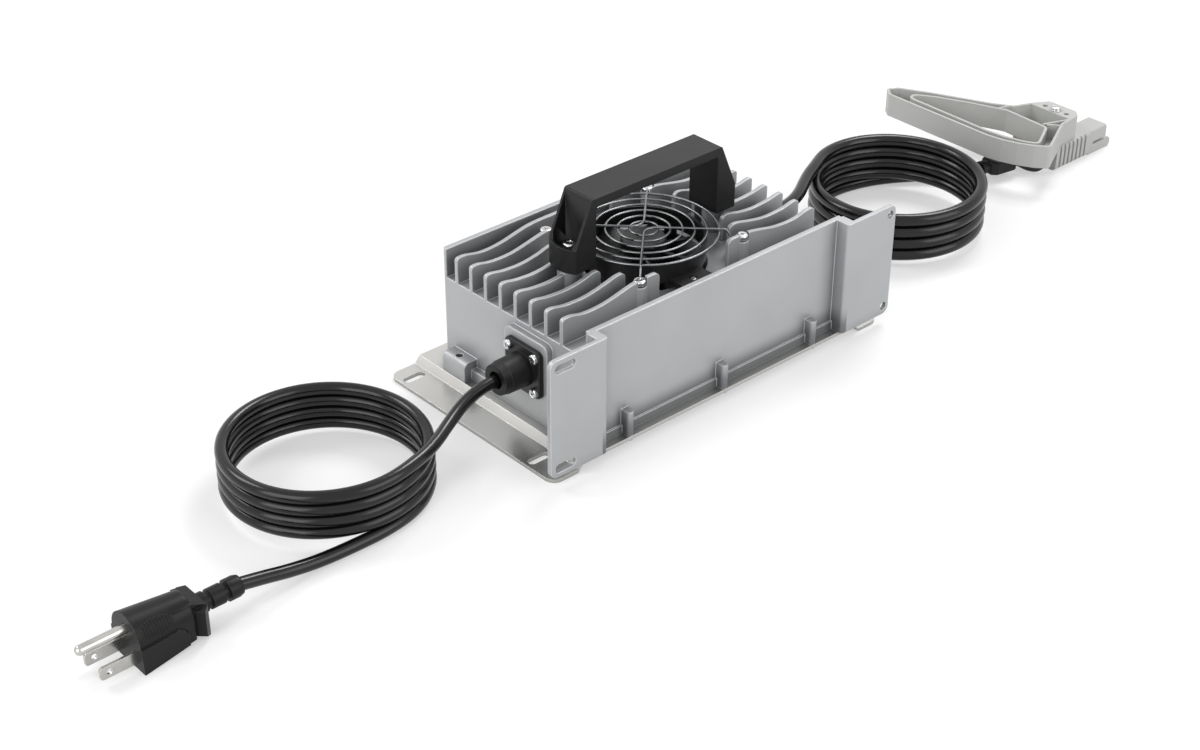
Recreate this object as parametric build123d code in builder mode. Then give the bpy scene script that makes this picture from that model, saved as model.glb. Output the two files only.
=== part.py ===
"""Finned, fan-cooled lithium battery charger with its mains lead, its output lead and connector.

Millimetres. X runs along the casting towards the output end, Z up. The origin is the middle of
the four foot slots, on the face that the plate rests on.
"""

from build123d import *
import math
import os

os.makedirs("parts", exist_ok=True)

# Mounting plate, one folded sheet
plate_length = 236.0
plate_margin_near = 5.9
plate_margin_far = 11.5
plate_thickness = 2.0
plate_rise = 4.0
foot_length = 17.1
bend_run = 3.3
foot_corner_radius = 6.0
slot_inset = 8.4
slot_spacing_y = 100.0
slot_length = 13.0
slot_width = 5.0

# Casting
casting_length = 177.4
casting_width = 113.6
casting_height = 66.0
casting_off_middle = 7.7
wall = 3.1
shell_corner_radius = 2.0
deck_depth = 16.2
deck_thickness = 3.0
fin_count = 8
fin_pitch = 11.6
fin_thickness = 2.2
fin_offset = 2.8
fin_end_radius = 3.0
fin_corner_radius = 1.5
wave_crest_x = 34.0
wave_trough_x = 67.0
wave_crest = 1.0
wave_trough = -3.8
wave_outer_crest = -0.8
band_height = 5.0
band_proud = 1.0
band_end_margin = 1.0
end_band_height = 6.0
end_band_length = 62.0
end_band_offset = 3.0
pad_proud = 3.8
pad_width = 32.5
pad_height = 46.3
pad_radius = 4.0
corner_boss_width = 18.0
corner_boss_height = 11.0
corner_boss_proud = 8.6
corner_boss_radius = 3.6
corner_boss_offset = 37.0
corner_boss_hole = 2.0

# Flanges on the near side
flange_thickness = 2.5
flange_step = 6.0
flange_root = 5.5
flange_root_inset = 4.2
flange_bend_radius = 2.0
flange_reach = 32.6
flange_corner_radius = 4.0
flange_hole_low = 4.9
flange_hole_high = 5.1
flange_hole_radius = 2.4
flange_slot_length = 13.2
flange_slot_width = 5.0
flange_hole_inset = 3.9
flange_slot_inset = 2.8

# Base screws and their bosses
boss_width = 4.4
boss_reach = 5.9
boss_height = 14.0
boss_pitch = 66.0
base_screw_radius = 1.0
base_head_radius = 2.1
base_head_height = 1.7
base_screw_length = 12.0
pilot_overrun = 1.0

# Fan, its well and its guard
fan_off_middle = 6.7
fin_clear_radius = 45.8
well_depth = 18.4
well_wall = 2.5
well_clearance = 0.8
fan_floor_gap = 0.6
fan_drop = 2.0
fan_bore_radius = 31.4
fan_shell = 1.5
fan_opening = 3.6
fan_foot_ring = 2.2
strut_width = 7.0
strut_inset = 0.3
lug_width = 21.0
lug_reach = 43.0
lug_thickness = 2.8
lug_hole_reach = 37.2
lug_seat = 1.9
lug_boss_radius = 4.6
lug_corner_radius = 1.5
fan_screw_grip = 3.6
fan_head_radius = 1.9
fan_head_height = 1.2
hub_radius = 12.0
hub_wall = 1.6
blade_count = 7
blade_thickness = 1.4
blade_tip_clearance = 0.6
blade_span_root = 21.0
blade_span_tip = 23.0
blade_angle_root = 38.0
blade_angle_tip = 58.0
blade_drop = 1.0
blade_embed = 0.8
blade_tip_margin = 1.2
rotor_drop = 1.0
rotor_lift = 0.3
shaft_radius = 1.5
shaft_clearance = 0.08
bearing_wall = 2.0
bearing_height = 12.0
arm_count = 4
arm_width = 4.0
arm_thickness = 2.2
arm_turn = 20.0
arm_embed = 1.0
guard_hole_spacing_x = 72.0
guard_hole_spacing_y = 71.5
guard_wire = 1.2
guard_weld = 0.3
guard_ring_smallest = 7.5
guard_handle_clearance = 2.8
guard_ring_count = 6
guard_rise = 4.8
guard_turn_radius = 7.0
guard_apex = 0.4
guard_foot_run = 1.6
guard_foot_slope = 2.4
guard_foot_radius = 1.2
guard_knee_radius = 1.6
guard_post_radius = 3.7
guard_post_drop = 3.0
guard_eye_radius = 2.5
guard_screw_radius = 1.4
guard_screw_depth = 8.0
guard_head_radius = 3.3
guard_head_height = 2.2

# Carrying handle
handle_width = 20.7
handle_inner_length = 84.8
handle_bar = 5.0
handle_top_length = 90.0
handle_height = 38.2
handle_foot_length = 17.0
handle_foot_height = 13.3
handle_pocket_floor = 10.5
handle_pocket_wall = 1.5
handle_leg = 3.5
handle_bow = 3.6
handle_top_radius = 1.5
handle_seat_drop = 0.5
handle_spot_margin = 1.2
handle_screw_radius = 1.9
handle_head_radius = 3.7
handle_head_height = 2.4
handle_screw_depth = 10.0
handle_screw_inset = 8.4
handle_boss_radius = 6.5

# Cord glands
gland_side = 26.8
gland_flange = 2.1
gland_radius = 3.0
gasket_thickness = 0.6
gland_reach = 16.8
gland_nose_root = 9.25
gland_nose_tip = 8.8
gland_lip = 4.0
gland_taper = 0.3
gland_mouth_chamfer = 0.6
gland_bore = 9.3
gland_bore_depth = 8.0
gland_height = 28.7
gland_offset = 15.9
gland_screw_spacing = 19.6
gland_screw_radius = 1.2
gland_head_radius = 2.25
gland_head_height = 2.1
gland_screw_length = 6.0

# Circuit board and what it carries
board_clearance_x = 7.6
board_clearance_y = 7.7
board_thickness = 1.6
standoff_height = 6.0
standoff_radius = 3.2
standoff_blind = 1.0
board_hole_inset = 6.0
board_screw_radius = 1.4
board_head_radius = 2.6
board_head_height = 1.9
transformer_length = 30.0
transformer_width = 38.0
transformer_height = 28.0
transformer_leg = 7.0
transformer_yoke = 4.9
transformer_gap = 1.5
winding_gap = 0.5
winding_radius = 4.0
capacitor_radius = 9.0
capacitor_height = 30.0
capacitor_gap = 2.0
capacitor_edge_radius = 1.2
choke_radius = 11.0
choke_wire_radius = 4.5
bar_length = 104.0
bar_thickness = 4.0
bar_headroom = 22.8
transistor_width = 15.0
transistor_headroom = 23.2
transistor_lift = 1.0
transistor_thickness = 4.6
transistor_count = 4
transistor_hole_radius = 1.8

# Mains lead
input_cord = 6.6
input_coil_radius = 52.4
input_coil_height = 26.3
input_coil_x = -199.8
input_coil_y = 0.8
relief_length = 21.6
relief_radius = 6.0
relief_rings = 3
relief_taper = 0.25
relief_groove_width = 1.5
relief_groove_depth = 1.1
plug_length = 35.7
plug_body_length = 29.0
plug_pad_length = 24.5
plug_pad_height = 13.2
plug_pad_proud = 1.0
plug_pad_radius = 6.0
plug_width = 25.6
plug_height = 25.8
plug_edge_radius = 1.5
collar_waist = 9.8
collar_waist_x = 28.7
collar_flare = 11.8
collar_flare_x = 32.5
collar_end = 9.2
collar_lift = 0.6
collar_top = 22.6
collar_end_top = 18.2
plug_x = -304.6
plug_y = -48.3
plug_axis_z = 12.4
blade_spacing = 12.7
blade_height = 6.4
blade_gauge = 1.5
blade_reach = 17.7
blade_low = 3.2
blade_depth = 5.0
blade_hole_inset = 4.5
blade_hole_radius = 1.5
blade_tip_chamfer = 0.9
earth_pin_radius = 2.4
earth_pin_reach = 24.2
earth_pin_rise = 11.9

# Output lead
output_cord = 7.4
output_coil_radius = 51.9
output_coil_height = 29.8
output_coil_x = 209.3
output_coil_y = -1.6
boot_length = 23.0
boot_turn = -10.0
boot_neck_length = 5.0
boot_neck_radius = 4.5
boot_ring_groove = 0.5
boot_half_width = 7.2
boot_flare = 4.0
boot_height = 9.4
boot_edge_radius = 2.2
lead_diameter = 4.6
lead_offset = 3.0

# Output connector and its grip
connector_x = 337.0
connector_y = -4.2
connector_length = 34.0
connector_width = 34.4
connector_height = 16.0
connector_radius = 2.5
mating_length = 16.8
mating_inset = 0.6
mating_radius = 1.4
hood_width = 15.0
hood_slit = 0.9
hood_slit_inset = 4.0
tongue_length = 21.8
tongue_height = 6.2
tongue_chamfer = 1.5
rib_count = 7
rib_pitch = 4.1
rib_groove = 1.8
rib_start = 4.0
rib_depth = 1.2
contact_width = 9.4
contact_height = 5.4
contact_spacing = 17.0
contact_gauge = 1.6
contact_low = 8.5
contact_setback = 5.0
housing_pocket = 8.0
grip_height = 14.5
grip_wall = 1.7
grip_corner_radius = 3.0
grip_groove_depth = 10.0
grip_boss_x = 349.8
grip_boss_length = 40.0
grip_boss_width = 60.0
grip_rib = 1.4
grip_hole_radius = 1.7
grip_hole_depth = 4.0
grip_hole_reach = 8.2
grip_screw_depth = 6.0
grip_screw_radius = 1.4
grip_head_radius = 2.8
grip_head_height = 1.8
grip_washer_radius = 4.0
grip_washer_thickness = 0.7
grip_screw_x = 354.4

# Clearances
screw_clearance = 0.1
hole_clearance = 0.3

# Places worked out from the sizes above
seat = plate_rise + plate_thickness
mid = -casting_off_middle
near = mid - casting_width / 2
far = mid + casting_width / 2
plate_near = near - plate_margin_near
plate_far = far + plate_margin_far
plate_mid = (plate_near + plate_far) / 2
slot_spacing_x = plate_length - 2 * slot_inset
flange_hole_spacing = casting_height - flange_hole_low - flange_hole_high
half = casting_length / 2
top = seat + casting_height
deck = top - deck_depth
well_floor = deck - well_depth
fan_y = -fan_off_middle
fan_seat = well_floor + fan_floor_gap
fan_top = top - fan_drop
fan_outer = fan_bore_radius + fan_shell
well_radius = fan_outer + well_clearance
lug_low = deck + lug_seat
lug_top = lug_low + lug_thickness
lug_holes = [(0, fan_y - lug_hole_reach), (0, fan_y + lug_hole_reach)]
fins_mid = mid + fin_offset
fin_ys = [fins_mid + fin_pitch * (i - (fin_count - 1) / 2) for i in range(fin_count)]
gland_z = seat + gland_height
pad_face = half + pad_proud
gland_seat = pad_face + gasket_thickness
gland_face = gland_seat + gland_flange
gland_mouth = gland_face + gland_reach
gland_y = plate_mid - gland_offset
output_y = plate_mid + gland_offset
flange_y = near - flange_step
boss_near_y = near - boss_reach + boss_width / 2
boss_far_y = far + boss_reach - boss_width / 2
boss_xs = [-boss_pitch, 0.0, boss_pitch]
flange_end = half + flange_reach
guard_ring_largest = handle_inner_length / 2 - guard_handle_clearance - guard_wire / 2
guard_post_top = top - guard_post_drop
guard_z = guard_post_top + guard_rise
handle_seat = top - handle_seat_drop
handle_screw_x = handle_inner_length / 2 + handle_foot_length - handle_screw_inset
handle_floor = handle_seat + handle_pocket_floor
board_length = casting_length - 2 * wall - 2 * board_clearance_x
board_width = casting_width - 2 * wall - 2 * board_clearance_y
board_z = seat + standoff_height
board_top = board_z + board_thickness
board_mid = mid
ceiling = deck - deck_thickness
bar_height = ceiling - board_z - bar_headroom
transistor_height = ceiling - board_top - transistor_lift - transistor_headroom


def wave(x):
    """Height of a fin's top edge above the casting's rim, at a distance x from the middle."""
    if x <= wave_crest_x:
        return wave_crest
    run = (x - wave_crest_x) / (wave_trough_x - wave_crest_x)
    crest = wave_crest if run <= 1 else wave_outer_crest
    return (crest + wave_trough) / 2 + (crest - wave_trough) / 2 * math.cos(run * math.pi)


# Mounting plate
lower_bend = plate_length / 2 - foot_length
upper_bend = lower_bend - bend_run
with BuildPart() as base_plate:
    with BuildSketch(Plane.XZ.offset(-plate_mid)):
        with BuildLine():
            Polyline(
                (-plate_length / 2, plate_thickness),
                (-lower_bend, plate_thickness),
                (-upper_bend, seat),
                (upper_bend, seat),
                (lower_bend, plate_thickness),
                (plate_length / 2, plate_thickness),
                (plate_length / 2, 0),
                (lower_bend + bend_run * 0.25, 0),
                (upper_bend + bend_run * 0.25, plate_rise),
                (-upper_bend - bend_run * 0.25, plate_rise),
                (-lower_bend - bend_run * 0.25, 0),
                (-plate_length / 2, 0),
                close=True,
            )
        make_face()
    extrude(amount=(plate_far - plate_near) / 2, both=True)
    corners = base_plate.edges().filter_by(Axis.Z).filter_by(
        lambda e: abs(e.center().X) > plate_length / 2 - 0.01
    )
    fillet(corners, radius=foot_corner_radius)
    with BuildSketch(Plane.XY):
        with GridLocations(slot_spacing_x, slot_spacing_y, 2, 2):
            SlotOverall(slot_length, slot_width)
    extrude(amount=plate_thickness, mode=Mode.SUBTRACT)
    with BuildSketch(Plane.XY.offset(plate_rise)):
        with Locations([(x, y) for x in boss_xs for y in (boss_near_y, boss_far_y)]):
            Circle(base_screw_radius + hole_clearance)
    extrude(amount=plate_thickness, mode=Mode.SUBTRACT)
base_plate.part.label = "base_plate"
export_step(base_plate.part, "parts/base_plate.step")

# Casting: shell, deck, side walls, fins, fan well, bosses, pads and flanges in one piece
with BuildPart() as housing:
    with BuildSketch(Plane.XY.offset(seat)):
        with Locations((0, mid)):
            RectangleRounded(casting_length, casting_width, shell_corner_radius)
    extrude(amount=casting_height)
    with BuildSketch(Plane.XY.offset(deck)):
        with Locations((0, mid)):
            Rectangle(casting_length + 2, casting_width - 2 * wall)
    extrude(amount=deck_depth, mode=Mode.SUBTRACT)
    with BuildSketch(Plane.XY.offset(seat)):
        with Locations((0, mid)):
            RectangleRounded(
                casting_length - 2 * wall, casting_width - 2 * wall, shell_corner_radius
            )
    extrude(amount=ceiling - seat, mode=Mode.SUBTRACT)
    with BuildSketch(Plane.XY.offset(well_floor - well_wall)):
        with Locations((0, fan_y)):
            Circle(well_radius + well_wall)
    extrude(amount=deck - well_floor + well_wall)
    with BuildSketch(Plane.XY.offset(well_floor)):
        with Locations((0, fan_y)):
            Circle(well_radius)
    extrude(amount=deck - well_floor, mode=Mode.SUBTRACT)
    with BuildSketch(Plane.XY.offset(deck)):
        with Locations(lug_holes):
            Circle(lug_boss_radius)
    extrude(amount=lug_seat)
    for fin_y in fin_ys:
        reach = max(fin_clear_radius**2 - (fin_y - fan_y) ** 2, 1.0) ** 0.5
        crest = [reach + fin_end_radius + (half - fin_corner_radius - reach - fin_end_radius) * t / 6
                 for t in range(7)]
        with BuildSketch(Plane.XZ.offset(-fin_y - fin_thickness / 2)):
            with BuildLine():
                low = Line((reach, deck), (reach, top + wave(crest[0]) - fin_end_radius))
                turn = JernArc(low @ 1, low % 1, fin_end_radius, -90)
                ridge = Spline(
                    [turn @ 1] + [(x, top + wave(x)) for x in crest[1:]],
                    tangents=[(1, 0), (1, -0.1)],
                )
                nose = ThreePointArc(
                    ridge @ 1,
                    (half - 0.3 * fin_corner_radius, top + wave(crest[-1]) - 0.4 * fin_corner_radius),
                    (half, top + wave(crest[-1]) - 1.2 * fin_corner_radius),
                )
                Polyline(nose @ 1, (half, deck), low @ 0)
            make_face()
            mirror(about=Plane.YZ)
        extrude(amount=-fin_thickness)
    with BuildSketch(Plane.XY.offset(deck)):
        with Locations((0, fan_y)):
            with GridLocations(guard_hole_spacing_x, guard_hole_spacing_y, 2, 2):
                Circle(guard_post_radius)
    extrude(amount=guard_post_top - deck)
    with BuildSketch(Plane.XY.offset(guard_post_top)):
        with Locations((0, fan_y)):
            with GridLocations(guard_hole_spacing_x, guard_hole_spacing_y, 2, 2):
                Circle(guard_post_radius)
    extrude(amount=deck_depth, mode=Mode.SUBTRACT)
    with BuildSketch(Plane.XY.offset(deck)):
        with Locations((-handle_screw_x, fan_y), (handle_screw_x, fan_y)):
            Circle(handle_boss_radius)
    extrude(amount=handle_seat - deck)
    with BuildSketch(Plane.XY.offset(handle_seat)):
        with Locations((-handle_screw_x, fan_y), (handle_screw_x, fan_y)):
            Rectangle(
                2 * (handle_foot_length - handle_screw_inset + handle_spot_margin),
                handle_width + 2 * handle_spot_margin,
            )
    extrude(amount=deck_depth, mode=Mode.SUBTRACT)
    for side, y in ((-1, gland_y), (1, output_y)):
        with BuildSketch(Plane.YZ.offset(side * half)):
            with Locations((y, seat + pad_height / 2)):
                RectangleRounded(pad_width, pad_height, pad_radius)
            with Locations((y, seat + pad_height / 4)):
                Rectangle(pad_width, pad_height / 2)
            with Locations((plate_mid - side * end_band_offset, seat + end_band_height / 2)):
                Rectangle(end_band_length, end_band_height)
        extrude(amount=side * pad_proud)
        boss_y = plate_mid - side * corner_boss_offset
        with BuildSketch(Plane.XY.offset(seat)):
            with Locations((side * (half + corner_boss_proud / 2), boss_y)):
                Rectangle(corner_boss_proud, corner_boss_width)
        extrude(amount=corner_boss_height)
        with BuildSketch(Plane.XY.offset(seat + corner_boss_height)):
            with Locations((side * (half + corner_boss_proud / 2), boss_y)):
                Circle(corner_boss_hole)
        extrude(amount=-corner_boss_height / 2, mode=Mode.SUBTRACT)
    round_tops = housing.edges().filter_by(Axis.Y).filter_by(
        lambda e: abs(abs(e.center().X) - half - corner_boss_proud) < 0.01
        and abs(e.center().Z - seat - corner_boss_height) < 0.01
    )
    fillet(round_tops, radius=corner_boss_radius)
    with BuildSketch(Plane.XY.offset(seat)):
        with Locations((0, near - band_proud / 2)):
            Rectangle(casting_length - 2 * band_end_margin, band_proud)
    extrude(amount=band_height)
    with BuildSketch(Plane.XY.offset(seat)):
        for x in boss_xs:
            with Locations((x, boss_near_y), (x, boss_far_y)):
                Circle(boss_width / 2)
            with Locations((x, (near + boss_near_y) / 2), (x, (far + boss_far_y) / 2)):
                Rectangle(boss_width, abs(near - boss_near_y) + 0.2)
    extrude(amount=boss_height)
    root_x = half - flange_root_inset
    for side in (-1, 1):
        with BuildSketch(Plane.XY.offset(seat)):
            with BuildLine():
                Polyline(
                    (side * root_x, near + 1),
                    (side * root_x, flange_y - flange_thickness),
                    (side * flange_end, flange_y - flange_thickness),
                    (side * flange_end, flange_y),
                    (side * (root_x + flange_root), flange_y),
                    (side * (root_x + flange_root), near + 1),
                    close=True,
                )
            make_face()
        extrude(amount=casting_height)
    rims = housing.edges().filter_by(Axis.Y).filter_by(
        lambda e: abs(abs(e.center().X) - flange_end) < 0.01
    )
    fillet(rims, radius=flange_corner_radius)
    bends = housing.edges().filter_by(Axis.Z).filter_by(
        lambda e: abs(abs(e.center().X) - root_x) < 0.01
        and abs(e.center().Y - flange_y + flange_thickness) < 0.01
    )
    fillet(bends, radius=flange_bend_radius)
    with BuildSketch(Plane.XZ.offset(-flange_y)):
        for z in (seat + flange_hole_low, seat + flange_hole_low + flange_hole_spacing):
            with Locations((-flange_end + flange_slot_inset + flange_slot_length / 2, z)):
                SlotOverall(flange_slot_length, flange_slot_width)
            with Locations((flange_end - flange_hole_inset, z)):
                Circle(flange_hole_radius)
    extrude(amount=flange_thickness, both=True, mode=Mode.SUBTRACT)
    with BuildSketch(Plane.XY.offset(seat)):
        with Locations([(x, y) for x in boss_xs for y in (boss_near_y, boss_far_y)]):
            Circle(base_screw_radius + screw_clearance)
    extrude(amount=base_screw_length - plate_thickness + pilot_overrun, mode=Mode.SUBTRACT)
    with BuildSketch(Plane.XY.offset(lug_low)):
        with Locations(lug_holes):
            Circle(base_screw_radius + screw_clearance)
    extrude(amount=-fan_screw_grip - pilot_overrun, mode=Mode.SUBTRACT)
    with BuildSketch(Plane.XY.offset(guard_post_top)):
        with Locations((0, fan_y)):
            with GridLocations(guard_hole_spacing_x, guard_hole_spacing_y, 2, 2):
                Circle(guard_screw_radius + screw_clearance)
    extrude(amount=-guard_screw_depth - pilot_overrun, mode=Mode.SUBTRACT)
    with BuildSketch(Plane.XY.offset(handle_seat)):
        with Locations((-handle_screw_x, fan_y), (handle_screw_x, fan_y)):
            Circle(handle_screw_radius + screw_clearance)
    extrude(amount=-handle_screw_depth - pilot_overrun, mode=Mode.SUBTRACT)
    for side, y in ((-1, gland_y), (1, output_y)):
        with BuildSketch(Plane.YZ.offset(side * pad_face)):
            with Locations((y, gland_z)):
                Circle(gland_bore / 2)
                with GridLocations(gland_screw_spacing, gland_screw_spacing, 2, 2):
                    Circle(gland_screw_radius + screw_clearance)
        extrude(amount=-side * (pad_proud + wall), mode=Mode.SUBTRACT)
housing.part.label = "housing"
export_step(housing.part, "parts/housing.step")

# Base screws, heads under the raised plate
with BuildPart() as base_screws:
    with BuildSketch(Plane.XY.offset(plate_rise)):
        with Locations([(x, y) for x in boss_xs for y in (boss_near_y, boss_far_y)]):
            Circle(base_head_radius)
    extrude(amount=-base_head_height)
    with BuildSketch(Plane.XY.offset(plate_rise)):
        with Locations([(x, y) for x in boss_xs for y in (boss_near_y, boss_far_y)]):
            Circle(base_screw_radius)
    extrude(amount=base_screw_length)
base_screws.part.label = "base_screws"
export_step(base_screws.part, "parts/base_screws.step")

# Fan frame: shroud over an open ring of struts, spider arms, bearing tube and two mounting lugs
bearing_floor = fan_seat + arm_thickness
shroud_low = deck + fan_opening
with BuildPart() as fan_frame:
    with BuildSketch(Plane.XY.offset(shroud_low)):
        with Locations((0, fan_y)):
            Circle(fan_outer)
    extrude(amount=fan_top - shroud_low)
    with BuildSketch(Plane.XY.offset(lug_low)):
        with Locations((0, fan_y)):
            Rectangle(lug_width, 2 * lug_reach)
    extrude(amount=lug_thickness)
    lug_corners = fan_frame.edges().filter_by(Axis.Z).filter_by(
        lambda e: abs(abs(e.center().Y - fan_y) - lug_reach) < 0.01
    )
    fillet(lug_corners, radius=lug_corner_radius)
    with BuildSketch(Plane.XY.offset(fan_seat)):
        with Locations((0, fan_y)):
            Circle(fan_outer)
    extrude(amount=fan_foot_ring)
    with BuildSketch(Plane.XY.offset(fan_seat)):
        with Locations((0, fan_y)):
            with PolarLocations(fan_outer - fan_shell, arm_count, start_angle=arm_turn):
                Rectangle(2 * fan_shell, strut_width)
            Circle(fan_outer - strut_inset, mode=Mode.INTERSECT)
    extrude(amount=shroud_low - fan_seat + fan_shell)
    with BuildSketch(Plane.XY.offset(fan_seat)):
        with Locations((0, fan_y)):
            Circle(fan_bore_radius)
    extrude(amount=fan_top - fan_seat, mode=Mode.SUBTRACT)
    with BuildSketch(Plane.XY.offset(fan_seat)):
        with Locations((0, fan_y)):
            Circle(hub_radius)
            with PolarLocations((hub_radius + fan_bore_radius) / 2, arm_count, start_angle=arm_turn):
                Rectangle(fan_bore_radius - hub_radius + 2 * arm_embed, arm_width)
    extrude(amount=arm_thickness)
    with BuildSketch(Plane.XY.offset(bearing_floor)):
        with Locations((0, fan_y)):
            Circle(shaft_radius + shaft_clearance + bearing_wall)
            Circle(shaft_radius + shaft_clearance, mode=Mode.SUBTRACT)
    extrude(amount=bearing_height)
    with BuildSketch(Plane.XY.offset(lug_top)):
        with Locations(lug_holes):
            Circle(fan_head_radius + hole_clearance)
    extrude(amount=-fan_head_height - hole_clearance, mode=Mode.SUBTRACT)
    with BuildSketch(Plane.XY.offset(lug_top)):
        with Locations(lug_holes):
            Circle(base_screw_radius + hole_clearance)
    extrude(amount=-lug_thickness, mode=Mode.SUBTRACT)
fan_frame.part.label = "fan_frame"
export_step(fan_frame.part, "parts/fan_frame.step")

# Fan rotor: hub cup, twisted blades and the shaft that runs in the bearing tube
rotor_top = fan_top - rotor_drop
hub_low = bearing_floor + rotor_lift
blade_mid = rotor_top - blade_span_tip / 2 - blade_drop
tip_radius = fan_bore_radius - blade_tip_clearance
with BuildPart() as fan_rotor:
    with BuildSketch(Plane.XY.offset(hub_low)):
        with Locations((0, fan_y)):
            Circle(hub_radius)
            Circle(hub_radius - hub_wall, mode=Mode.SUBTRACT)
    extrude(amount=rotor_top - hub_low)
    with BuildSketch(Plane.XY.offset(rotor_top - hub_wall)):
        with Locations((0, fan_y)):
            Circle(hub_radius)
    extrude(amount=hub_wall)
    fillet(
        fan_rotor.edges().filter_by(GeomType.CIRCLE).group_by(Axis.Z)[-1],
        radius=hub_wall * 0.7,
    )
    with BuildSketch(Plane.XY.offset(bearing_floor + rotor_lift)):
        with Locations((0, fan_y)):
            Circle(shaft_radius)
    extrude(amount=rotor_top - hub_wall - bearing_floor - rotor_lift)
    for i in range(blade_count):
        turn = 360 / blade_count * i
        root = Plane(
            origin=(0, fan_y, blade_mid),
            x_dir=Vector(0, 1, 0).rotate(Axis.Z, turn),
            z_dir=Vector(1, 0, 0).rotate(Axis.Z, turn),
        )
        with BuildSketch(root.offset(hub_radius - blade_embed)):
            Rectangle(blade_thickness, blade_span_root, rotation=blade_angle_root)
        with BuildSketch(root.offset(tip_radius - blade_tip_margin)):
            Rectangle(blade_thickness, blade_span_tip, rotation=blade_angle_tip)
        loft()
    with BuildSketch(Plane.XY.offset(hub_low)):
        with Locations((0, fan_y)):
            Circle(tip_radius)
    extrude(amount=rotor_top - hub_low, mode=Mode.INTERSECT)
fan_rotor.part.label = "fan_rotor"
export_step(fan_rotor.part, "parts/fan_rotor.step")

# Fan screws, sunk in the lugs and held in the casting's low bosses
fan_screw_seat = lug_top - fan_head_height - hole_clearance
with BuildPart() as fan_screws:
    with BuildSketch(Plane.XY.offset(fan_screw_seat)):
        with Locations(lug_holes):
            Circle(fan_head_radius)
    extrude(amount=fan_head_height)
    fillet(fan_screws.edges().group_by(Axis.Z)[-1], radius=fan_head_height * 0.5)
    with BuildSketch(Plane.XY.offset(fan_screw_seat)):
        with Locations(lug_holes):
            Circle(base_screw_radius)
    extrude(amount=lug_low - fan_screw_grip - fan_screw_seat)
fan_screws.part.label = "fan_screws"
export_step(fan_screws.part, "parts/fan_screws.step")

# Wire guard: rings welded under two bent wires that end in eyes under the corner screws
guard_holes = [(x, fan_y + y) for x in (-guard_hole_spacing_x / 2, guard_hole_spacing_x / 2)
               for y in (-guard_hole_spacing_y / 2, guard_hole_spacing_y / 2)]
eye_z = guard_post_top + guard_wire / 2
spoke_z = guard_z + guard_wire - guard_weld
with BuildPart() as fan_guard:
    for i in range(guard_ring_count):
        pitch = (guard_ring_largest - guard_ring_smallest) / (guard_ring_count - 1)
        with Locations((0, fan_y, guard_z)):
            Torus(guard_ring_smallest + pitch * i, guard_wire / 2)
    for side in (-1, 1):
        eye_x = guard_hole_spacing_x / 2
        eye_y = fan_y + side * guard_hole_spacing_y / 2
        reach = (guard_eye_radius + guard_wire / 2 - guard_weld) / 2**0.5
        foot = reach + guard_foot_run
        knee = foot + guard_foot_slope
        with BuildLine() as spoke:
            FilletPolyline(
                (-eye_x + reach, eye_y - side * reach, eye_z),
                (-eye_x + foot, eye_y - side * foot, eye_z),
                (-eye_x + knee, eye_y - side * knee, spoke_z),
                (0, fan_y + side * guard_apex, spoke_z),
                (eye_x - knee, eye_y - side * knee, spoke_z),
                (eye_x - foot, eye_y - side * foot, eye_z),
                (eye_x - reach, eye_y - side * reach, eye_z),
                radius=[
                    guard_foot_radius,
                    guard_knee_radius,
                    guard_turn_radius,
                    guard_knee_radius,
                    guard_foot_radius,
                ],
            )
        with BuildSketch(Plane(origin=spoke.line @ 0, z_dir=spoke.line % 0)):
            Circle(guard_wire / 2)
        sweep(path=spoke.line)
        with Locations((-eye_x, eye_y, eye_z), (eye_x, eye_y, eye_z)):
            Torus(guard_eye_radius, guard_wire / 2)
fan_guard.part.label = "fan_guard"
export_step(fan_guard.part, "parts/fan_guard.step")

with BuildPart() as guard_screws:
    with BuildSketch(Plane.XY.offset(guard_post_top + guard_wire)):
        with Locations(guard_holes):
            Circle(guard_head_radius)
    extrude(amount=guard_head_height)
    fillet(guard_screws.edges().group_by(Axis.Z)[-1], radius=guard_head_height * 0.6)
    with BuildSketch(Plane.XY.offset(guard_post_top + guard_wire)):
        with Locations(guard_holes):
            Circle(guard_screw_radius)
    extrude(amount=-guard_wire - guard_screw_depth)
guard_screws.part.label = "guard_screws"
export_step(guard_screws.part, "parts/guard_screws.step")

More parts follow.
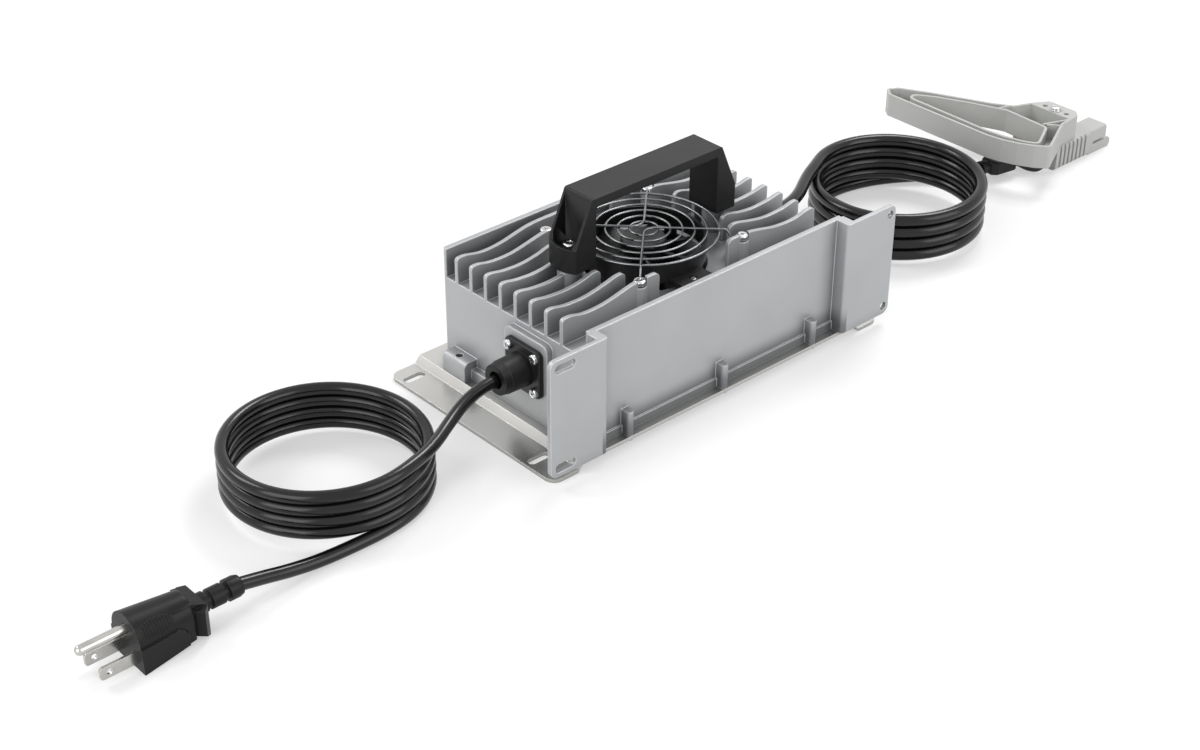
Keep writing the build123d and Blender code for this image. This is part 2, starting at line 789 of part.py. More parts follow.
# Carrying handle: flat bar on two box legs whose sloping ends are open over the screws
handle_z = handle_seat + handle_height
handle_end = handle_inner_length / 2 + handle_foot_length
with BuildPart() as handle:
    with BuildSketch(Plane.XZ.offset(-fan_y)):
        with BuildLine():
            Polyline(
                (-handle_end, handle_seat),
                (-handle_end, handle_seat + handle_foot_height),
                (-handle_top_length / 2, handle_z),
                (handle_top_length / 2, handle_z),
                (handle_end, handle_seat + handle_foot_height),
                (handle_end, handle_seat),
                (handle_inner_length / 2, handle_seat),
                (handle_inner_length / 2, handle_z - handle_bar),
                (-handle_inner_length / 2, handle_z - handle_bar),
                (-handle_inner_length / 2, handle_seat),
                close=True,
            )
        make_face()
    extrude(amount=handle_width / 2, both=True)
    with BuildSketch(Plane.XY.offset(handle_seat)):
        with BuildLine():
            side_x = handle_end - handle_bow
            a = Line((-side_x, fan_y + handle_width / 2), (side_x, fan_y + handle_width / 2))
            b = ThreePointArc(a @ 1, (handle_end, fan_y), (side_x, fan_y - handle_width / 2))
            c = Line(b @ 1, (-side_x, fan_y - handle_width / 2))
            ThreePointArc(c @ 1, (-handle_end, fan_y), a @ 0)
        make_face()
    extrude(amount=handle_height, mode=Mode.INTERSECT)
    fillet(
        handle.edges().filter_by(Axis.Y).filter_by(
            lambda e: e.center().Z > handle_z - handle_bar - 1),
        radius=handle_top_radius,
    )
    pocket_inner = handle_inner_length / 2 + handle_leg
    pocket_side = side_x - handle_pocket_wall
    for side in (-1, 1):
        with BuildSketch(Plane.XY.offset(handle_floor)):
            with BuildLine():
                pocket_half = handle_width / 2 - handle_pocket_wall
                pocket_tip = handle_end - handle_pocket_wall
                bow = ThreePointArc(
                    (side * pocket_side, fan_y - pocket_half),
                    (side * pocket_tip, fan_y),
                    (side * pocket_side, fan_y + pocket_half),
                )
                Polyline(
                    bow @ 1,
                    (side * pocket_inner, fan_y + pocket_half),
                    (side * pocket_inner, fan_y - pocket_half),
                    bow @ 0,
                )
            make_face()
        extrude(amount=handle_height - handle_pocket_floor, mode=Mode.SUBTRACT)
    with BuildSketch(Plane.XY.offset(handle_seat)):
        with Locations((-handle_screw_x, fan_y), (handle_screw_x, fan_y)):
            Circle(handle_screw_radius + hole_clearance)
    extrude(amount=handle_pocket_floor, mode=Mode.SUBTRACT)
handle.part.label = "handle"
export_step(handle.part, "parts/handle.step")

with BuildPart() as handle_screws:
    with BuildSketch(Plane.XY.offset(handle_floor)):
        with Locations((-handle_screw_x, fan_y), (handle_screw_x, fan_y)):
            Circle(handle_head_radius)
    extrude(amount=handle_head_height)
    fillet(handle_screws.edges().group_by(Axis.Z)[-1], radius=handle_head_height * 0.6)
    with BuildSketch(Plane.XY.offset(handle_floor)):
        with Locations((-handle_screw_x, fan_y), (handle_screw_x, fan_y)):
            Circle(handle_screw_radius)
    extrude(amount=-handle_pocket_floor - handle_screw_depth)
handle_screws.part.label = "handle_screws"
export_step(handle_screws.part, "parts/handle_screws.step")


def gland_holes(y):
    """The four screw places of a gland whose axis stands at y."""
    return [(y + a, gland_z + b) for a in (-gland_screw_spacing / 2, gland_screw_spacing / 2)
            for b in (-gland_screw_spacing / 2, gland_screw_spacing / 2)]


# Glands, gaskets and gland screws at the two ends
for name, side, y in (("input", -1, gland_y), ("output", 1, output_y)):
    with BuildPart() as gasket:
        with BuildSketch(Plane.YZ.offset(side * pad_face)):
            with Locations((y, gland_z)):
                RectangleRounded(gland_side, gland_side, gland_radius)
                Circle(gland_bore / 2, mode=Mode.SUBTRACT)
            with Locations(gland_holes(y)):
                Circle(gland_screw_radius + screw_clearance, mode=Mode.SUBTRACT)
        extrude(amount=side * gasket_thickness)
    gasket.part.label = name + "_gasket"
    export_step(gasket.part, "parts/" + name + "_gasket.step")

    with BuildPart() as gland:
        with BuildSketch(Plane.YZ.offset(side * gland_seat)):
            with Locations((y, gland_z)):
                RectangleRounded(gland_side, gland_side, gland_radius)
        extrude(amount=side * gland_flange)
        fillet(
            gland.faces().sort_by(Axis.X)[0 if side < 0 else -1].edges(),
            radius=gland_flange * 0.4,
        )
        with BuildSketch(Plane(origin=(0, y, gland_z), x_dir=(side, 0, 0), z_dir=(0, -side, 0))):
            with BuildLine():
                Polyline(
                    (gland_seat + 1, 0),
                    (gland_seat + 1, gland_nose_root),
                    (gland_face, gland_nose_root),
                    (gland_mouth - gland_lip, gland_nose_root - gland_taper),
                    (gland_mouth - gland_lip, gland_nose_tip),
                    (gland_mouth, gland_nose_tip - gland_mouth_chamfer),
                    (gland_mouth, 0),
                    close=True,
                )
            make_face()
        revolve(axis=Axis((0, y, gland_z), (1, 0, 0)))
        with BuildSketch(Plane.YZ.offset(side * gland_mouth)):
            with Locations((y, gland_z)):
                Circle(gland_bore / 2)
        extrude(amount=-side * gland_bore_depth, mode=Mode.SUBTRACT)
        with BuildSketch(Plane.YZ.offset(side * gland_seat)):
            with Locations(gland_holes(y)):
                Circle(gland_screw_radius + hole_clearance)
        extrude(amount=side * gland_flange, mode=Mode.SUBTRACT)
    gland.part.label = name + "_gland"
    export_step(gland.part, "parts/" + name + "_gland.step")

    with BuildPart() as gland_screws:
        with BuildSketch(Plane.YZ.offset(side * gland_face)):
            with Locations(gland_holes(y)):
                Circle(gland_head_radius)
        extrude(amount=side * gland_head_height)
        fillet(
            gland_screws.edges().group_by(Axis.X)[0 if side < 0 else -1],
            radius=gland_head_height * 0.6,
        )
        with BuildSketch(Plane.YZ.offset(side * gland_face)):
            with Locations(gland_holes(y)):
                Circle(gland_screw_radius)
        extrude(amount=-side * gland_screw_length)
    gland_screws.part.label = name + "_gland_screws"
    export_step(gland_screws.part, "parts/" + name + "_gland_screws.step")

# Circuit board on hexagonal standoffs
board_holes = [(x, board_mid + y)
               for x in (-board_length / 2 + board_hole_inset, board_length / 2 - board_hole_inset)
               for y in (-board_width / 2 + board_hole_inset, board_width / 2 - board_hole_inset)]
with BuildPart() as circuit_board:
    with BuildSketch(Plane.XY.offset(board_z)):
        with Locations((0, board_mid)):
            Rectangle(board_length, board_width)
        with Locations(board_holes):
            Circle(board_screw_radius + hole_clearance, mode=Mode.SUBTRACT)
    extrude(amount=board_thickness)
circuit_board.part.label = "circuit_board"
export_step(circuit_board.part, "parts/circuit_board.step")

with BuildPart() as board_standoffs:
    with BuildSketch(Plane.XY.offset(seat)):
        with Locations(board_holes):
            RegularPolygon(standoff_radius, 6)
            Circle(board_screw_radius + screw_clearance, mode=Mode.SUBTRACT)
    extrude(amount=standoff_height)
board_standoffs.part.label = "board_standoffs"
export_step(board_standoffs.part, "parts/board_standoffs.step")

with BuildPart() as board_screws:
    with BuildSketch(Plane.XY.offset(board_top)):
        with Locations(board_holes):
            Circle(board_head_radius)
    extrude(amount=board_head_height)
    with BuildSketch(Plane.XY.offset(board_top)):
        with Locations(board_holes):
            Circle(board_screw_radius)
    extrude(amount=-board_thickness - standoff_height + standoff_blind)
board_screws.part.label = "board_screws"
export_step(board_screws.part, "parts/board_screws.step")

# Transformer: ferrite frame with a middle leg, and its winding
transformer_x = fin_clear_radius + well_wall + transformer_gap + transformer_length / 2
with BuildPart() as transformer_core:
    with BuildSketch(Plane.YZ.offset(transformer_x)):
        with Locations((board_mid, board_top + transformer_height / 2)):
            Rectangle(transformer_width, transformer_height)
        window = (transformer_width - 3 * transformer_leg) / 2
        with Locations(
            (board_mid - (transformer_leg + window) / 2, board_top + transformer_height / 2),
            (board_mid + (transformer_leg + window) / 2, board_top + transformer_height / 2),
        ):
            Rectangle(window, transformer_height - 2 * transformer_yoke, mode=Mode.SUBTRACT)
    extrude(amount=transformer_leg, both=True)
transformer_core.part.label = "transformer_core"
export_step(transformer_core.part, "parts/transformer_core.step")

winding_height = transformer_height - 2 * transformer_yoke - 2 * hole_clearance
winding_width = transformer_width - 2 * transformer_leg - 2 * winding_gap
with BuildPart() as transformer_winding:
    with BuildSketch(Plane.XY.offset(board_top + (transformer_height - winding_height) / 2)):
        with Locations((transformer_x, board_mid)):
            RectangleRounded(transformer_length, winding_width, winding_radius)
            Rectangle(
                2 * transformer_leg + 2 * hole_clearance,
                transformer_leg + 2 * hole_clearance,
                mode=Mode.SUBTRACT,
            )
    extrude(amount=winding_height)
transformer_winding.part.label = "transformer_winding"
export_step(transformer_winding.part, "parts/transformer_winding.step")

# Two reservoir capacitors and a toroidal choke
capacitor_x = -(fin_clear_radius + well_wall + transformer_gap + capacitor_radius)
with BuildPart() as capacitors:
    with BuildSketch(Plane.XY.offset(board_top)):
        with Locations(
            (capacitor_x, board_mid - capacitor_radius - capacitor_gap / 2),
            (capacitor_x, board_mid + capacitor_radius + capacitor_gap / 2),
        ):
            Circle(capacitor_radius)
    extrude(amount=capacitor_height)
    fillet(capacitors.edges().group_by(Axis.Z)[-1], radius=capacitor_edge_radius)
capacitors.part.label = "capacitors"
export_step(capacitors.part, "parts/capacitors.step")

with BuildPart() as choke:
    with Locations((0, board_mid, board_top + choke_wire_radius)):
        Torus(choke_radius, choke_wire_radius)
choke.part.label = "choke"
export_step(choke.part, "parts/choke.step")

# Power transistors clamped on a bar against the far wall
bar_y = far - wall - bar_thickness - hole_clearance
with BuildPart() as heat_bar:
    with BuildSketch(Plane.XZ.offset(-bar_y)):
        with Locations((0, board_z + bar_height / 2)):
            Rectangle(bar_length, bar_height)
    extrude(amount=-bar_thickness)
heat_bar.part.label = "heat_bar"
export_step(heat_bar.part, "parts/heat_bar.step")

transistor_xs = [bar_length / transistor_count * (i - (transistor_count - 1) / 2)
                 for i in range(transistor_count)]
transistor_z = board_top + transistor_lift + transistor_height / 2
with BuildPart() as power_transistors:
    with BuildSketch(Plane.XZ.offset(-bar_y)):
        with Locations([(x, transistor_z) for x in transistor_xs]):
            Rectangle(transistor_width, transistor_height)
            Circle(transistor_hole_radius, mode=Mode.SUBTRACT)
    extrude(amount=transistor_thickness)
power_transistors.part.label = "power_transistors"
export_step(power_transistors.part, "parts/power_transistors.step")


def cord_radii(name, points):
    """The arc at each corner of a cord's route, 0.45 of the shorter run over tan(half the turn)."""
    vectors = [Vector(*p) for p in points]
    radii = []
    for a, b, c in zip(vectors, vectors[1:], vectors[2:]):
        half_turn = math.radians((b - a).get_angle(c - b)) / 2
        radii.append(0.45 * min((b - a).length, (c - b).length) / math.tan(half_turn))
    runs = [(b - a).length for a, b in zip(vectors, vectors[1:])]
    print(name, "runs", [round(r, 1) for r in runs], "radii", [round(r, 1) for r in radii])
    return radii


# Mains lead from the input gland to the top turn of its coil
gland_inner = gland_mouth - gland_bore_depth
input_lead_route = [
    (-gland_inner, gland_y, gland_z),
    (-118.0, gland_y, gland_z),
    (-132.0, -22.0, 31.6),
    (-146.0, -26.4, 26.2),
    (-159.5, -33.0, 23.7),
    (-172.5, -40.2, input_coil_height - input_cord / 2),
]
with BuildPart() as input_lead:
    with BuildLine() as route:
        FilletPolyline(*input_lead_route, radius=cord_radii("input lead", input_lead_route))
    with BuildSketch(Plane(origin=route.line @ 0, z_dir=route.line % 0)):
        Circle(input_cord / 2)
    sweep(path=route.line)
input_lead.part.label = "input_lead"
export_step(input_lead.part, "parts/input_lead.step")

with BuildPart() as input_coil:
    with BuildSketch(Plane.XY):
        with Locations((input_coil_x, input_coil_y)):
            Circle(input_coil_radius)
            Circle(input_coil_radius - input_cord, mode=Mode.SUBTRACT)
    extrude(amount=input_coil_height)
    fillet(input_coil.edges(), radius=input_cord * 0.4)
input_coil.part.label = "input_coil"
export_step(input_coil.part, "parts/input_coil.step")

# From the bottom turn along the floor and up into the plug's strain relief
relief_end = plug_x + relief_length
input_tail_route = [
    (-202.5, input_coil_y - input_coil_radius + input_cord / 2, input_cord / 2 + 0.1),
    (-222.0, -49.1, 3.4),
    (-241.0, -48.2, 3.7),
    (-257.5, -47.8, 6.2),
    (-270.5, -48.0, 9.6),
    (relief_end, plug_y, plug_axis_z),
]
with BuildPart() as input_tail:
    with BuildLine() as route:
        FilletPolyline(*input_tail_route, radius=cord_radii("input tail", input_tail_route))
    with BuildSketch(Plane(origin=route.line @ 0, z_dir=route.line % 0)):
        Circle(input_cord / 2)
    sweep(path=route.line)
input_tail.part.label = "input_tail"
export_step(input_tail.part, "parts/input_tail.step")

with BuildPart() as plug_strain_relief:
    ring_pitch = relief_length / relief_rings
    with BuildSketch(Plane(origin=(0, plug_y, plug_axis_z), x_dir=(1, 0, 0), z_dir=(0, -1, 0))):
        with BuildLine():
            outline = [(plug_x, 0), (plug_x, relief_radius)]
            for i in range(relief_rings):
                x = plug_x + ring_pitch * (i + 1)
                r = relief_radius - relief_taper * i
                low = r - relief_groove_depth
                outline += [(x - relief_groove_width, r), (x - relief_groove_width, low)]
                outline += [(x, low), (x, r - relief_taper)]
            Polyline(*outline[:-1], (relief_end, 0), close=True)
        make_face()
    revolve(axis=Axis((0, plug_y, plug_axis_z), (1, 0, 0)))
plug_strain_relief.part.label = "plug_strain_relief"
export_step(plug_strain_relief.part, "parts/plug_strain_relief.step")

plug_front = plug_x - plug_length
blade_ys = [plug_y - blade_spacing / 2, plug_y + blade_spacing / 2]
blade_z = blade_low + blade_height / 2
core_half = plug_width / 2 - plug_pad_proud
core_shoulder = plug_height - core_half
with BuildPart() as plug_body:
    with BuildSketch(Plane.YZ.offset(plug_front)):
        with Locations((plug_y, core_shoulder / 2)):
            Rectangle(2 * core_half, core_shoulder)
        with Locations((plug_y, core_shoulder)):
            Circle(core_half)
    extrude(amount=plug_body_length)
    rear = plug_body.edges().group_by(Axis.X)[-1].sort_by(Axis.Z)[-1]
    fillet(rear, radius=plug_edge_radius)
    with BuildSketch(Plane.XZ.offset(-plug_y)):
        with BuildLine():
            pad_end = plug_front + plug_pad_length
            lower = Polyline(
                (plug_front, plug_pad_height),
                (plug_front, 0),
                (pad_end, 0),
                (pad_end, plug_pad_height - plug_pad_radius),
            )
            turn = JernArc(lower @ 1, (0, 1), plug_pad_radius, 90)
            Line(turn @ 1, lower @ 0)
        make_face()
    extrude(amount=plug_width / 2, both=True)
    with BuildSketch(Plane.XY.offset(collar_lift)):
        with BuildLine():
            Polyline(
                (plug_front + collar_waist_x - plug_edge_radius, plug_y + collar_waist),
                (plug_front + collar_waist_x, plug_y + collar_waist),
                (plug_front + collar_flare_x, plug_y + collar_flare),
                (plug_x, plug_y + collar_end),
                (plug_x, plug_y - collar_end),
                (plug_front + collar_flare_x, plug_y - collar_flare),
                (plug_front + collar_waist_x, plug_y - collar_waist),
                (plug_front + collar_waist_x - plug_edge_radius, plug_y - collar_waist),
                close=True,
            )
        make_face()
    extrude(amount=collar_end_top - collar_lift)
    with BuildSketch(Plane.XZ.offset(-plug_y)):
        with BuildLine():
            Polyline(
                (plug_front + collar_waist_x - plug_edge_radius, collar_end_top),
                (plug_front + collar_waist_x - plug_edge_radius, collar_top),
                (plug_front + collar_waist_x, collar_top),
                (plug_x, collar_end_top),
                close=True,
            )
        make_face()
    extrude(amount=collar_end, both=True)
    with BuildSketch(Plane.YZ.offset(plug_front)):
        with Locations([(y, blade_z) for y in blade_ys]):
            Rectangle(blade_gauge, blade_height)
        with Locations((plug_y, blade_z + earth_pin_rise)):
            Circle(earth_pin_radius)
    extrude(amount=blade_depth, mode=Mode.SUBTRACT)
plug_body.part.label = "plug_body"
export_step(plug_body.part, "parts/plug_body.step")

blade_tip_x = plug_front - blade_reach
with BuildPart() as plug_blades:
    with BuildSketch(Plane.XZ.offset(-plug_y)):
        with Locations((plug_front + (blade_depth - blade_reach) / 2, blade_z)):
            Rectangle(blade_reach + blade_depth, blade_height)
        with Locations((blade_tip_x + blade_hole_inset, blade_z)):
            Circle(blade_hole_radius, mode=Mode.SUBTRACT)
    extrude(amount=blade_spacing / 2 + blade_gauge / 2, both=True)
    with BuildSketch(Plane.XZ.offset(-plug_y)):
        with Locations((plug_front, blade_z)):
            Rectangle(3 * blade_reach, 2 * blade_height)
    extrude(amount=blade_spacing / 2 - blade_gauge / 2, both=True, mode=Mode.SUBTRACT)
    tips = plug_blades.edges().filter_by(Axis.Y).group_by(Axis.X)[0]
    chamfer(tips, length=blade_tip_chamfer)
plug_blades.part.label = "plug_blades"
export_step(plug_blades.part, "parts/plug_blades.step")

with BuildPart() as earth_pin:
    with BuildSketch(Plane.YZ.offset(plug_front + blade_depth)):
        with Locations((plug_y, blade_z + earth_pin_rise)):
            Circle(earth_pin_radius)
    extrude(amount=-earth_pin_reach - blade_depth)
    fillet(earth_pin.edges().group_by(Axis.X)[0], radius=earth_pin_radius * 0.9)
earth_pin.part.label = "earth_pin"
export_step(earth_pin.part, "parts/earth_pin.step")

# Output lead, coil and tail
output_lead_route = [
    (gland_inner, output_y, gland_z),
    (119.0, output_y, gland_z),
    (133.5, 13.6, 33.6),
    (147.2, 19.6, 31.4),
    (160.2, 27.4, 28.8),
    (173.4, 35.2, 26.9),
    (187.0, 41.7, output_coil_height - output_cord / 2),
]
with BuildPart() as output_lead:
    with BuildLine() as route:
        FilletPolyline(*output_lead_route, radius=cord_radii("output lead", output_lead_route))
    with BuildSketch(Plane(origin=route.line @ 0, z_dir=route.line % 0)):
        Circle(output_cord / 2)
    sweep(path=route.line)
output_lead.part.label = "output_lead"
export_step(output_lead.part, "parts/output_lead.step")

with BuildPart() as output_coil:
    with BuildSketch(Plane.XY):
        with Locations((output_coil_x, output_coil_y)):
            Circle(output_coil_radius)
            Circle(output_coil_radius - output_cord, mode=Mode.SUBTRACT)
    extrude(amount=output_coil_height)
    fillet(output_coil.edges(), radius=output_cord * 0.4)
output_coil.part.label = "output_coil"
export_step(output_coil.part, "parts/output_coil.step")

output_tail_route = [
    (213.0, output_coil_y + output_coil_radius - output_cord / 2, output_cord / 2 + 0.1),
    (231.0, 43.9, 3.8),
    (247.5, 36.6, 3.8),
    (261.5, 26.4, 4.2),
    (273.0, 15.9, 5.6),
    (282.6, 8.2, 7.0),
    (292.0, 2.2, 8.0),
]
with BuildPart() as output_tail:
    with BuildLine() as route:
        FilletPolyline(*output_tail_route, radius=cord_radii("output tail", output_tail_route))
    with BuildSketch(Plane(origin=route.line @ 0, z_dir=route.line % 0)):
        Circle(output_cord / 2)
    sweep(path=route.line)
output_tail.part.label = "output_tail"
export_step(output_tail.part, "parts/output_tail.step")

# Boot that splits the cord into a red and a black lead
boot_start = Vector(*output_tail_route[-1])
boot_along = Vector(1, 0, 0).rotate(Axis.Z, boot_turn)
boot_across = Vector(0, 1, 0).rotate(Axis.Z, boot_turn)
boot_end = boot_start + boot_along * boot_length
boot_base = boot_start - Vector(0, 0, boot_height / 2)
with BuildPart() as cord_boot:
    with BuildSketch(Plane(origin=boot_base, x_dir=boot_along, z_dir=(0, 0, 1))):
        with BuildLine():
            Polyline(
                (boot_neck_length, boot_neck_radius),
                (boot_neck_length + boot_flare, boot_half_width),
                (boot_length, boot_half_width),
                (boot_length, -boot_half_width),
                (boot_neck_length + boot_flare, -boot_half_width),
                (boot_neck_length, -boot_neck_radius),
                close=True,
            )
        make_face()
    extrude(amount=boot_height)
    fillet(cord_boot.edges().group_by(Axis.Z)[0], radius=boot_edge_radius)
    fillet(cord_boot.edges().group_by(Axis.Z)[-1], radius=boot_edge_radius)
    with BuildSketch(Plane(origin=boot_start, x_dir=boot_across, z_dir=boot_along)):
        Circle(boot_neck_radius - boot_ring_groove)
    extrude(amount=boot_neck_length + boot_flare)
    with BuildSketch(Plane(origin=boot_start, x_dir=boot_across, z_dir=boot_along)):
        Circle(boot_neck_radius)
    extrude(amount=boot_neck_length / 3)
cord_boot.part.label = "cord_boot"
export_step(cord_boot.part, "parts/cord_boot.step")

black_start = boot_end - boot_across * lead_offset
red_start = boot_end + boot_across * lead_offset
black_route = [
    (black_start.X, black_start.Y, black_start.Z),
    (317.8, -6.6, 7.1),
    (321.2, -12.4, 4.6),
    (325.6, -15.8, 3.6),
    (331.0, -16.2, 5.0),
    (connector_x, -15.0, 6.8),
]
red_route = [
    (red_start.X, red_start.Y, red_start.Z),
    (319.8, 1.0, 8.6),
    (325.0, 3.0, 9.3),
    (330.8, 5.2, 9.6),
    (connector_x, 6.2, 9.4),
]
with BuildPart() as black_lead:
    with BuildLine() as route:
        FilletPolyline(*black_route, radius=cord_radii("black lead", black_route))
    with BuildSketch(Plane(origin=route.line @ 0, z_dir=route.line % 0)):
        Circle(lead_diameter / 2)
    sweep(path=route.line)
black_lead.part.label = "black_lead"
export_step(black_lead.part, "parts/black_lead.step")

with BuildPart() as red_lead:
    with BuildLine() as route:
        FilletPolyline(*red_route, radius=cord_radii("red lead", red_route))
    with BuildSketch(Plane(origin=route.line @ 0, z_dir=route.line % 0)):
        Circle(lead_diameter / 2)
    sweep(path=route.line)
red_lead.part.label = "red_lead"
export_step(red_lead.part, "parts/red_lead.step")

# Connector: body with ribbed flanks, a hood over the near contact, a bench under the far one
# and a locking tongue below both
connector_front = connector_x + connector_length
contact_ys = [connector_y - contact_spacing / 2, connector_y + contact_spacing / 2]
mating_half = connector_width / 2 - mating_inset
hood_y = connector_y - mating_half + hood_width / 2
hood_low = tongue_height + hood_slit
bench_width = 2 * mating_half - hood_width - hood_slit
bench_y = connector_y + mating_half - bench_width / 2
cavity_z = contact_low + contact_height / 2
with BuildPart() as connector_housing:
    with BuildSketch(Plane.YZ.offset(connector_x)):
        with Locations((connector_y, connector_height / 2)):
            RectangleRounded(connector_width, connector_height, connector_radius)
    extrude(amount=connector_length)
    with BuildSketch(Plane.YZ.offset(connector_front)):
        with Locations((hood_y, connector_height / 2)):
            RectangleRounded(hood_width, connector_height, mating_radius)
    extrude(amount=hood_slit_inset)
    with BuildSketch(Plane.YZ.offset(connector_front)):
        with Locations((hood_y, (hood_low + connector_height) / 2)):
            RectangleRounded(hood_width, connector_height - hood_low, mating_radius)
    extrude(amount=mating_length)
    with BuildSketch(Plane.YZ.offset(connector_front)):
        with Locations((bench_y, contact_low / 2)):
            Rectangle(bench_width, contact_low)
    extrude(amount=mating_length)
    with BuildSketch(Plane.YZ.offset(connector_front)):
        with Locations((connector_y, tongue_height / 2)):
            Rectangle(2 * mating_half, tongue_height)
    extrude(amount=tongue_length)
    tongue_tip = connector_housing.edges().filter_by(Axis.Y).filter_by(
        lambda e: abs(e.center().X - connector_front - tongue_length) < 0.01
    )
    chamfer(tongue_tip, length=tongue_chamfer)
    with BuildSketch(Plane.YZ.offset(connector_front + mating_length)):
        with Locations((contact_ys[0], cavity_z)):
            Rectangle(contact_width, contact_height)
    extrude(amount=-mating_length - housing_pocket, mode=Mode.SUBTRACT)
    with BuildSketch(Plane.YZ.offset(connector_front)):
        with Locations((contact_ys[1], cavity_z)):
            Rectangle(contact_width, contact_height)
    extrude(amount=-housing_pocket, mode=Mode.SUBTRACT)
    with BuildSketch(Plane.XY):
        for i in range(rib_count):
            x = connector_x + rib_start + rib_pitch * i
            with Locations(
                (x, connector_y - connector_width / 2), (x, connector_y + connector_width / 2)
            ):
                Rectangle(rib_groove, 2 * rib_depth)
    extrude(amount=connector_height, mode=Mode.SUBTRACT)
    with BuildSketch(Plane.XY.offset(connector_height)):
        with Locations((grip_screw_x, connector_y)):
            Circle(grip_screw_radius + screw_clearance)
    extrude(amount=-grip_screw_depth - pilot_overrun, mode=Mode.SUBTRACT)
connector_housing.part.label = "connector_housing"
export_step(connector_housing.part, "parts/connector_housing.step")

with BuildPart() as connector_contacts:
    with BuildSketch(Plane.YZ.offset(connector_front - housing_pocket)):
        with Locations([(y, contact_low + contact_gauge / 2) for y in contact_ys]):
            Rectangle(contact_width - 2 * hole_clearance, contact_gauge)
    extrude(amount=mating_length + housing_pocket - contact_setback)
connector_contacts.part.label = "connector_contacts"
export_step(connector_contacts.part, "parts/connector_contacts.step")

# Pull grip on top of the connector: a loop with a channel between its rims, ribs and a solid tip
grip_z = connector_height
grip_outline = [
    (293.5, 80.0), (293.5, 1.0), (295.2, -9.0), (298.6, -18.6), (303.4, -27.6),
    (309.8, -35.4), (341.6, -20.2),
    (357.5, -18.9), (362.0, -14.0), (362.0, 6.0), (351.2, 12.6), (339.8, 17.3),
    (332.4, 29.2), (316.9, 62.9), (306.2, 82.9), (299.0, 87.1),
]
grip_window = [
    (301.0, 74.6), (300.0, 6.0), (301.4, -7.0), (304.6, -18.0), (308.6, -26.0), (328.9, -15.6),
    (330.6, 15.4), (321.9, 38.0), (312.3, 58.0),
]
grip_top = grip_z + grip_height
grip_holes = [(grip_screw_x, connector_y + s * grip_hole_reach) for s in (-1, 1)]
with BuildPart() as connector_grip:
    with BuildSketch(Plane.XY.offset(grip_z)):
        with BuildLine():
            FilletPolyline(*grip_outline, radius=grip_corner_radius, close=True)
        make_face()
        with BuildLine():
            FilletPolyline(*grip_window, radius=grip_corner_radius, close=True)
        make_face(mode=Mode.SUBTRACT)
    extrude(amount=grip_height)
    with BuildSketch(Plane.XY.offset(grip_top)):
        with BuildLine():
            FilletPolyline(*grip_outline, radius=grip_corner_radius, close=True)
        make_face()
        with BuildLine():
            FilletPolyline(*grip_window, radius=grip_corner_radius, close=True)
        make_face(mode=Mode.SUBTRACT)
        offset(amount=-grip_wall, mode=Mode.REPLACE)
        with Locations((grip_boss_x + grip_boss_length / 2, connector_y)):
            Rectangle(grip_boss_length, grip_boss_width, mode=Mode.SUBTRACT)
        with Locations((336.0, 19.6)):
            Rectangle(14.0, grip_rib, rotation=-14, mode=Mode.SUBTRACT)
        with Locations((341.5, -15.2)):
            Rectangle(20.0, grip_rib, rotation=-21, mode=Mode.SUBTRACT)
        with Locations((336.6, -17.4)):
            Rectangle(10.0, grip_rib, rotation=-53, mode=Mode.SUBTRACT)
    extrude(amount=-grip_groove_depth, mode=Mode.SUBTRACT)
    with BuildSketch(Plane.XY.offset(grip_z)):
        with Locations((grip_screw_x, connector_y)):
            Circle(grip_screw_radius + hole_clearance)
    extrude(amount=grip_height, mode=Mode.SUBTRACT)
    with BuildSketch(Plane.XY.offset(grip_top)):
        with Locations(grip_holes):
            Circle(grip_hole_radius)
    extrude(amount=-grip_hole_depth, mode=Mode.SUBTRACT)
connector_grip.part.label = "connector_grip"
export_step(connector_grip.part, "parts/connector_grip.step")

with BuildPart() as grip_washer:
    with BuildSketch(Plane.XY.offset(grip_top)):
        with Locations((grip_screw_x, connector_y)):
            Circle(grip_washer_radius)
            Circle(grip_screw_radius + hole_clearance, mode=Mode.SUBTRACT)
    extrude(amount=grip_washer_thickness)
grip_washer.part.label = "grip_washer"
export_step(grip_washer.part, "parts/grip_washer.step")

with BuildPart() as grip_screw:
    with BuildSketch(Plane.XY.offset(grip_top + grip_washer_thickness)):
        with Locations((grip_screw_x, connector_y)):
            Circle(grip_head_radius)
    extrude(amount=grip_head_height)
    fillet(grip_screw.edges().group_by(Axis.Z)[-1], radius=grip_head_height * 0.6)
    with BuildSketch(Plane.XY.offset(grip_top + grip_washer_thickness)):
        with Locations((grip_screw_x, connector_y)):
            Circle(grip_screw_radius)
    extrude(amount=-grip_washer_thickness - grip_height - grip_screw_depth)
grip_screw.part.label = "grip_screw"
export_step(grip_screw.part, "parts/grip_screw.step")
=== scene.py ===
"""Finishes, cords, plug, handle, screws and studio for the finned lithium battery charger.

Metres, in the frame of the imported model: X runs along the casting towards the output end, Z up.
"""

import logging
import math
from collections.abc import Callable, Iterator
from contextlib import contextmanager
from dataclasses import dataclass, field
from enum import Enum

import bmesh
import bpy
from bmesh.types import BMEdge, BMFace
from bpy.types import ID, Material, Node, NodeSocket, NodeTree, Object
from mathutils import Matrix, Vector


